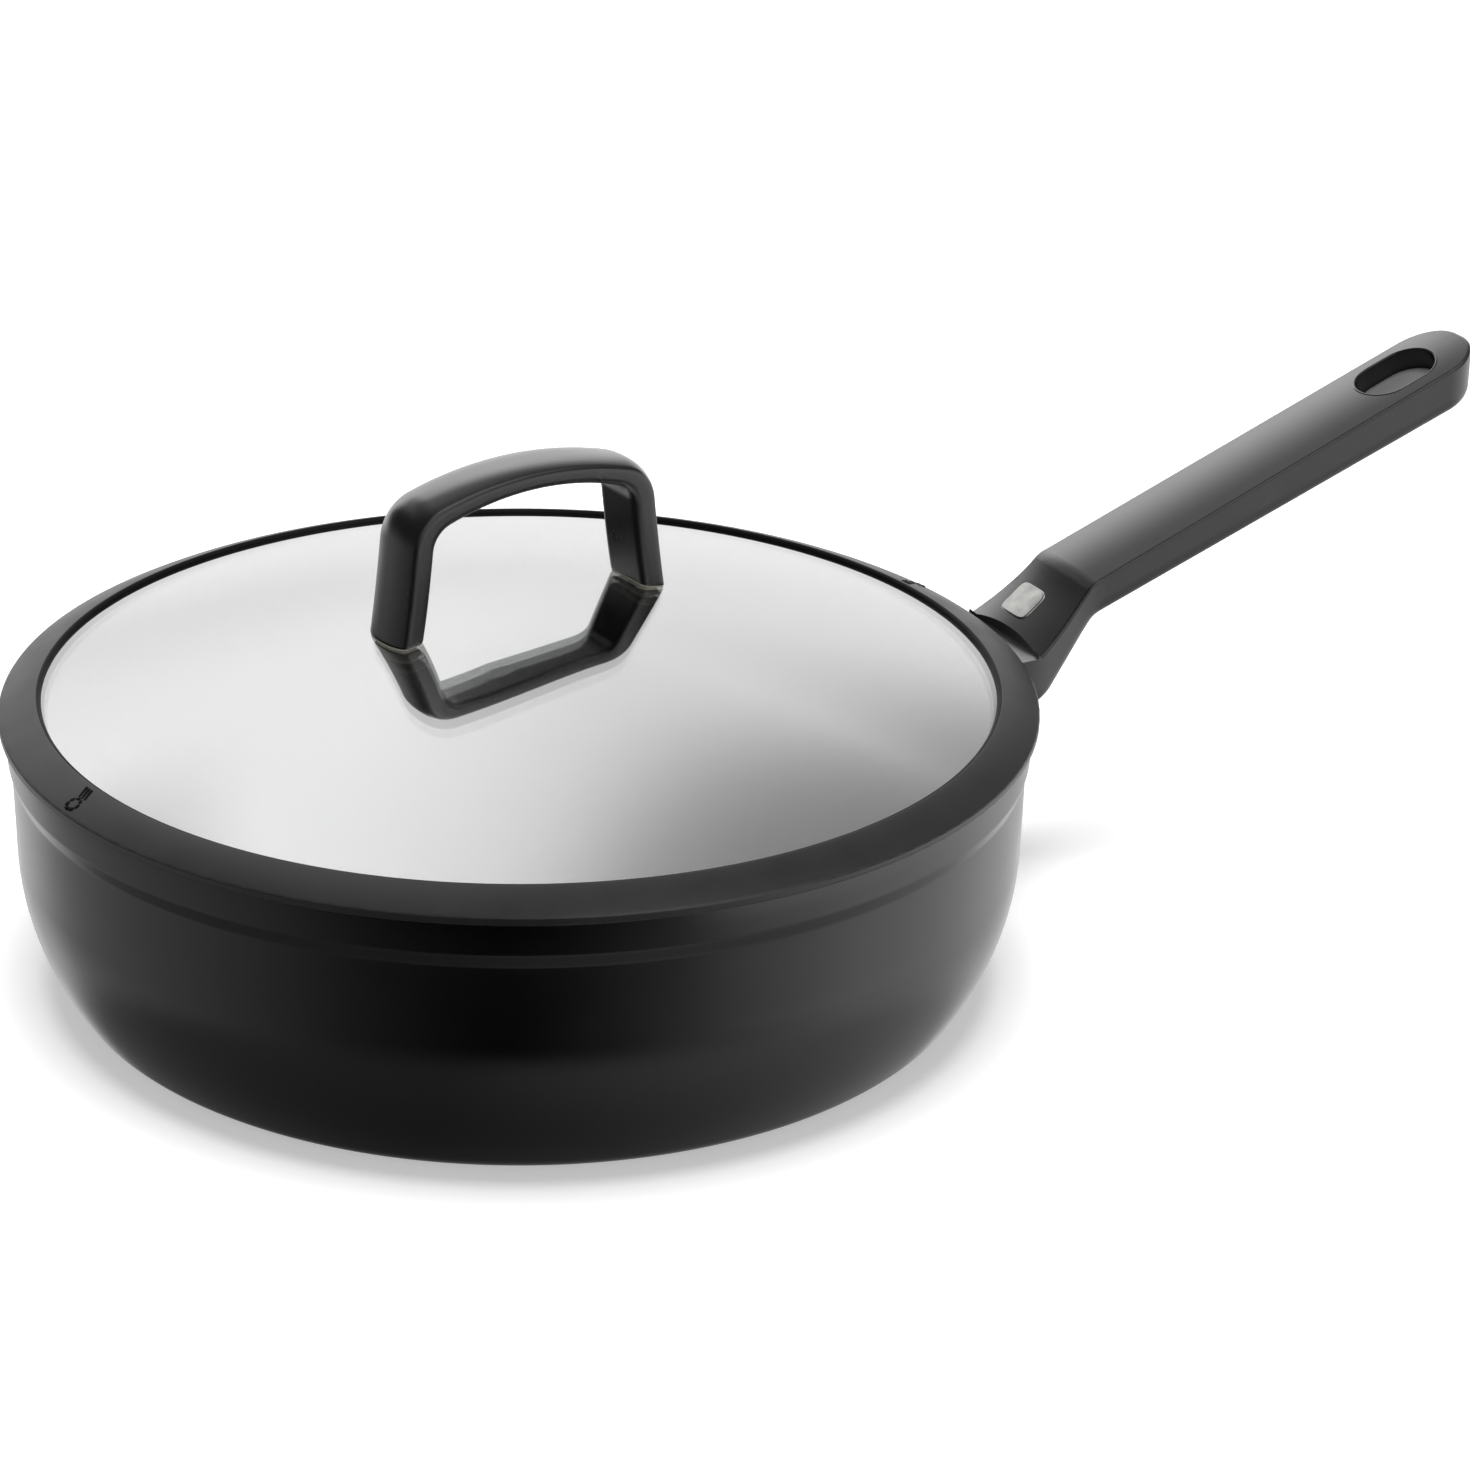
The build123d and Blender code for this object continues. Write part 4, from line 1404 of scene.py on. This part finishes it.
class PanLook(bpy.types.PropertyGroup):
    """Sizes and colours of the pan's surfaces and finishes."""

    around: bpy.props.IntProperty(
        name="Steps around",
        description="Number of steps in a full turn of the bowl and the glass",
        default=240,
        min=48,
        max=480,
    )
    coat_shade: bpy.props.FloatVectorProperty(
        name="Outer coat",
        description="Colour of the coat outside the bowl",
        subtype="COLOR",
        default=(0.0009, 0.0009, 0.0009),
        min=0.0,
        max=1.0,
    )
    coat_roughness: bpy.props.FloatProperty(
        name="Outer coat roughness",
        description="Roughness of the coat outside the bowl",
        default=0.21,
        min=0.0,
        max=1.0,
        subtype="FACTOR",
    )
    inner_shade: bpy.props.FloatVectorProperty(
        name="Inner coat",
        description="Colour of the non-stick coat inside the bowl",
        subtype="COLOR",
        default=(0.014, 0.014, 0.014),
        min=0.0,
        max=1.0,
    )
    grip_shade: bpy.props.FloatVectorProperty(
        name="Handles",
        description="Colour of the soft-touch handles",
        subtype="COLOR",
        default=(0.006, 0.006, 0.006),
        min=0.0,
        max=1.0,
    )
    grip_roughness: bpy.props.FloatProperty(
        name="Handle roughness",
        description="Roughness of the soft-touch handles",
        default=0.3,
        min=0.0,
        max=1.0,
        subtype="FACTOR",
    )
    silicone_shade: bpy.props.FloatVectorProperty(
        name="Silicone",
        description="Colour of the ring round the glass",
        subtype="COLOR",
        default=(0.01, 0.01, 0.01),
        min=0.0,
        max=1.0,
    )
    glass_mirror: bpy.props.FloatProperty(
        name="Glass mirror",
        description="Share of the glass top that acts as a mirror",
        default=0.5,
        min=0.0,
        max=1.0,
        subtype="FACTOR",
    )


class PAN_OT_make_bowl(bpy.types.Operator):
    """Make the bowl with its coats, and the steel plate in its underside"""

    bl_idname = "pan.make_bowl"
    bl_label = "Bowl"

    def execute(self, context):
        profile, coats = bowl_rows()
        bowl = revolved_piece(
            "bowl_shell",
            profile,
            look().around,
            [finish("outer coat"), finish("inner coat")],
            coats,
        )
        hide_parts("pan_body")
        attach(bowl, "pan")
        plate = revolved_piece(
            "base_plate", plate_rows()[::-1], look().around, [finish("turned steel")]
        )
        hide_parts("induction_plate")
        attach(plate, "pan")
        return {"FINISHED"}


class PAN_OT_make_grip(bpy.types.Operator):
    """Dress the long handle, its bracket and its fixing"""

    bl_idname = "pan.make_grip"
    bl_label = "Long handle"

    def execute(self, context):
        dress("handle_grip", "soft touch")
        dress("handle_bracket", "hardware")
        dress("handle_washer", "hardware")
        place, head, shank = GRIP_SCREW
        screw = make_screw("grip_screw", [(place, 0.0)], head, shank)
        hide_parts("handle_screw")
        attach(screw, "pan")
        inlay = make_root_inlay()
        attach(inlay, "pan")
        for piece in (make_pocket_bead(), make_pocket_floor()):
            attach(piece, "pan")
        return {"FINISHED"}


class PAN_OT_make_glass(bpy.types.Operator):
    """Make the domed glass and dress the ring round it"""

    bl_idname = "pan.make_glass"
    bl_label = "Glass and ring"

    def execute(self, context):
        profile, sides = glass_rows()
        glass = revolved_piece(
            "glass_dome",
            profile[::-1],
            look().around,
            [finish("glass top"), finish("glass underside")],
            sides[::-1],
        )
        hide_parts("lid_glass")
        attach(glass, "lid")
        dress("lid_rim", "silicone")
        section, parts = ring_skin_rows()
        # The ring's lip takes a darker finish that paints its shade beside the glass
        skin = ring_piece(
            "ring_skin", section, look().around, [finish("ring lip"), finish("silicone")], parts
        )
        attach(skin, "lid")
        marks = make_pour_marks()
        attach(marks, "lid")
        return {"FINISHED"}


class PAN_OT_make_arch(bpy.types.Operator):
    """Make the arch handle on the lid and dress its fixings"""

    bl_idname = "pan.make_arch"
    bl_label = "Lid handle"

    def execute(self, context):
        arch = make_arch()
        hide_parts("lid_handle")
        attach(arch, "lid")
        gaskets = make_foot_gaskets()
        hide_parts("lid_gaskets")
        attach(gaskets, "lid")
        dress("lid_inserts", "brass")
        dress("lid_soft_washers", "soft pad")
        dress("lid_steel_washers", "hardware")
        reach = (ARCH_SCREW_REACH * math.cos(LID_TURN), ARCH_SCREW_REACH * math.sin(LID_TURN))
        places = [reach, (-reach[0], -reach[1])]
        screws = make_screw("arch_screws", places, *ARCH_SCREW)
        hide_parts("lid_screws")
        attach(screws, "lid")
        return {"FINISHED"}


class PAN_OT_set_stage(bpy.types.Operator):
    """Set up the floor, the light and the camera"""

    bl_idname = "pan.set_stage"
    bl_label = "Stage"

    def execute(self, context):
        scene = context.scene
        half = FLOOR_HALF
        points = [(-half, -half, 0), (half, -half, 0), (half, half, 0), (-half, half, 0)]
        floor = make_mesh_piece("floor", points, [(0, 1, 2, 3)], [floor_finish()], smooth=False)
        studio_world()
        add_lamp(scene)
        add_camera(scene)
        scene.view_settings.view_transform = "Standard"
        return {"FINISHED"}


class PAN_PT_parts(bpy.types.Panel):
    """List of the pieces and their settings"""

    bl_idname = "PAN_PT_parts"
    bl_label = "Saute pan"
    bl_space_type = "VIEW_3D"
    bl_region_type = "UI"
    bl_category = "Pan"

    def draw(self, context):
        layout = self.layout
        settings = context.scene.pan_look
        for name in PanLook.__annotations__:
            layout.prop(settings, name)
        for step in STEPS:
            layout.operator(step.bl_idname)


STEPS = (
    PAN_OT_make_bowl,
    PAN_OT_make_grip,
    PAN_OT_make_glass,
    PAN_OT_make_arch,
    PAN_OT_set_stage,
)
CLASSES = (PanLook, *STEPS, PAN_PT_parts)


def register():
    """Register the classes and the scene's settings."""
    for kind in CLASSES:
        bpy.utils.register_class(kind)
    bpy.types.Scene.pan_look = bpy.props.PointerProperty(type=PanLook)


def unregister():
    """Remove the scene's settings and the classes."""
    del bpy.types.Scene.pan_look
    for kind in reversed(CLASSES):
        bpy.utils.unregister_class(kind)


def main():
    """Make every piece in order."""
    register()
    for step in STEPS:
        group, name = step.bl_idname.split(".")
        getattr(getattr(bpy.ops, group), name)()


if __name__ == "__main__":
    main()
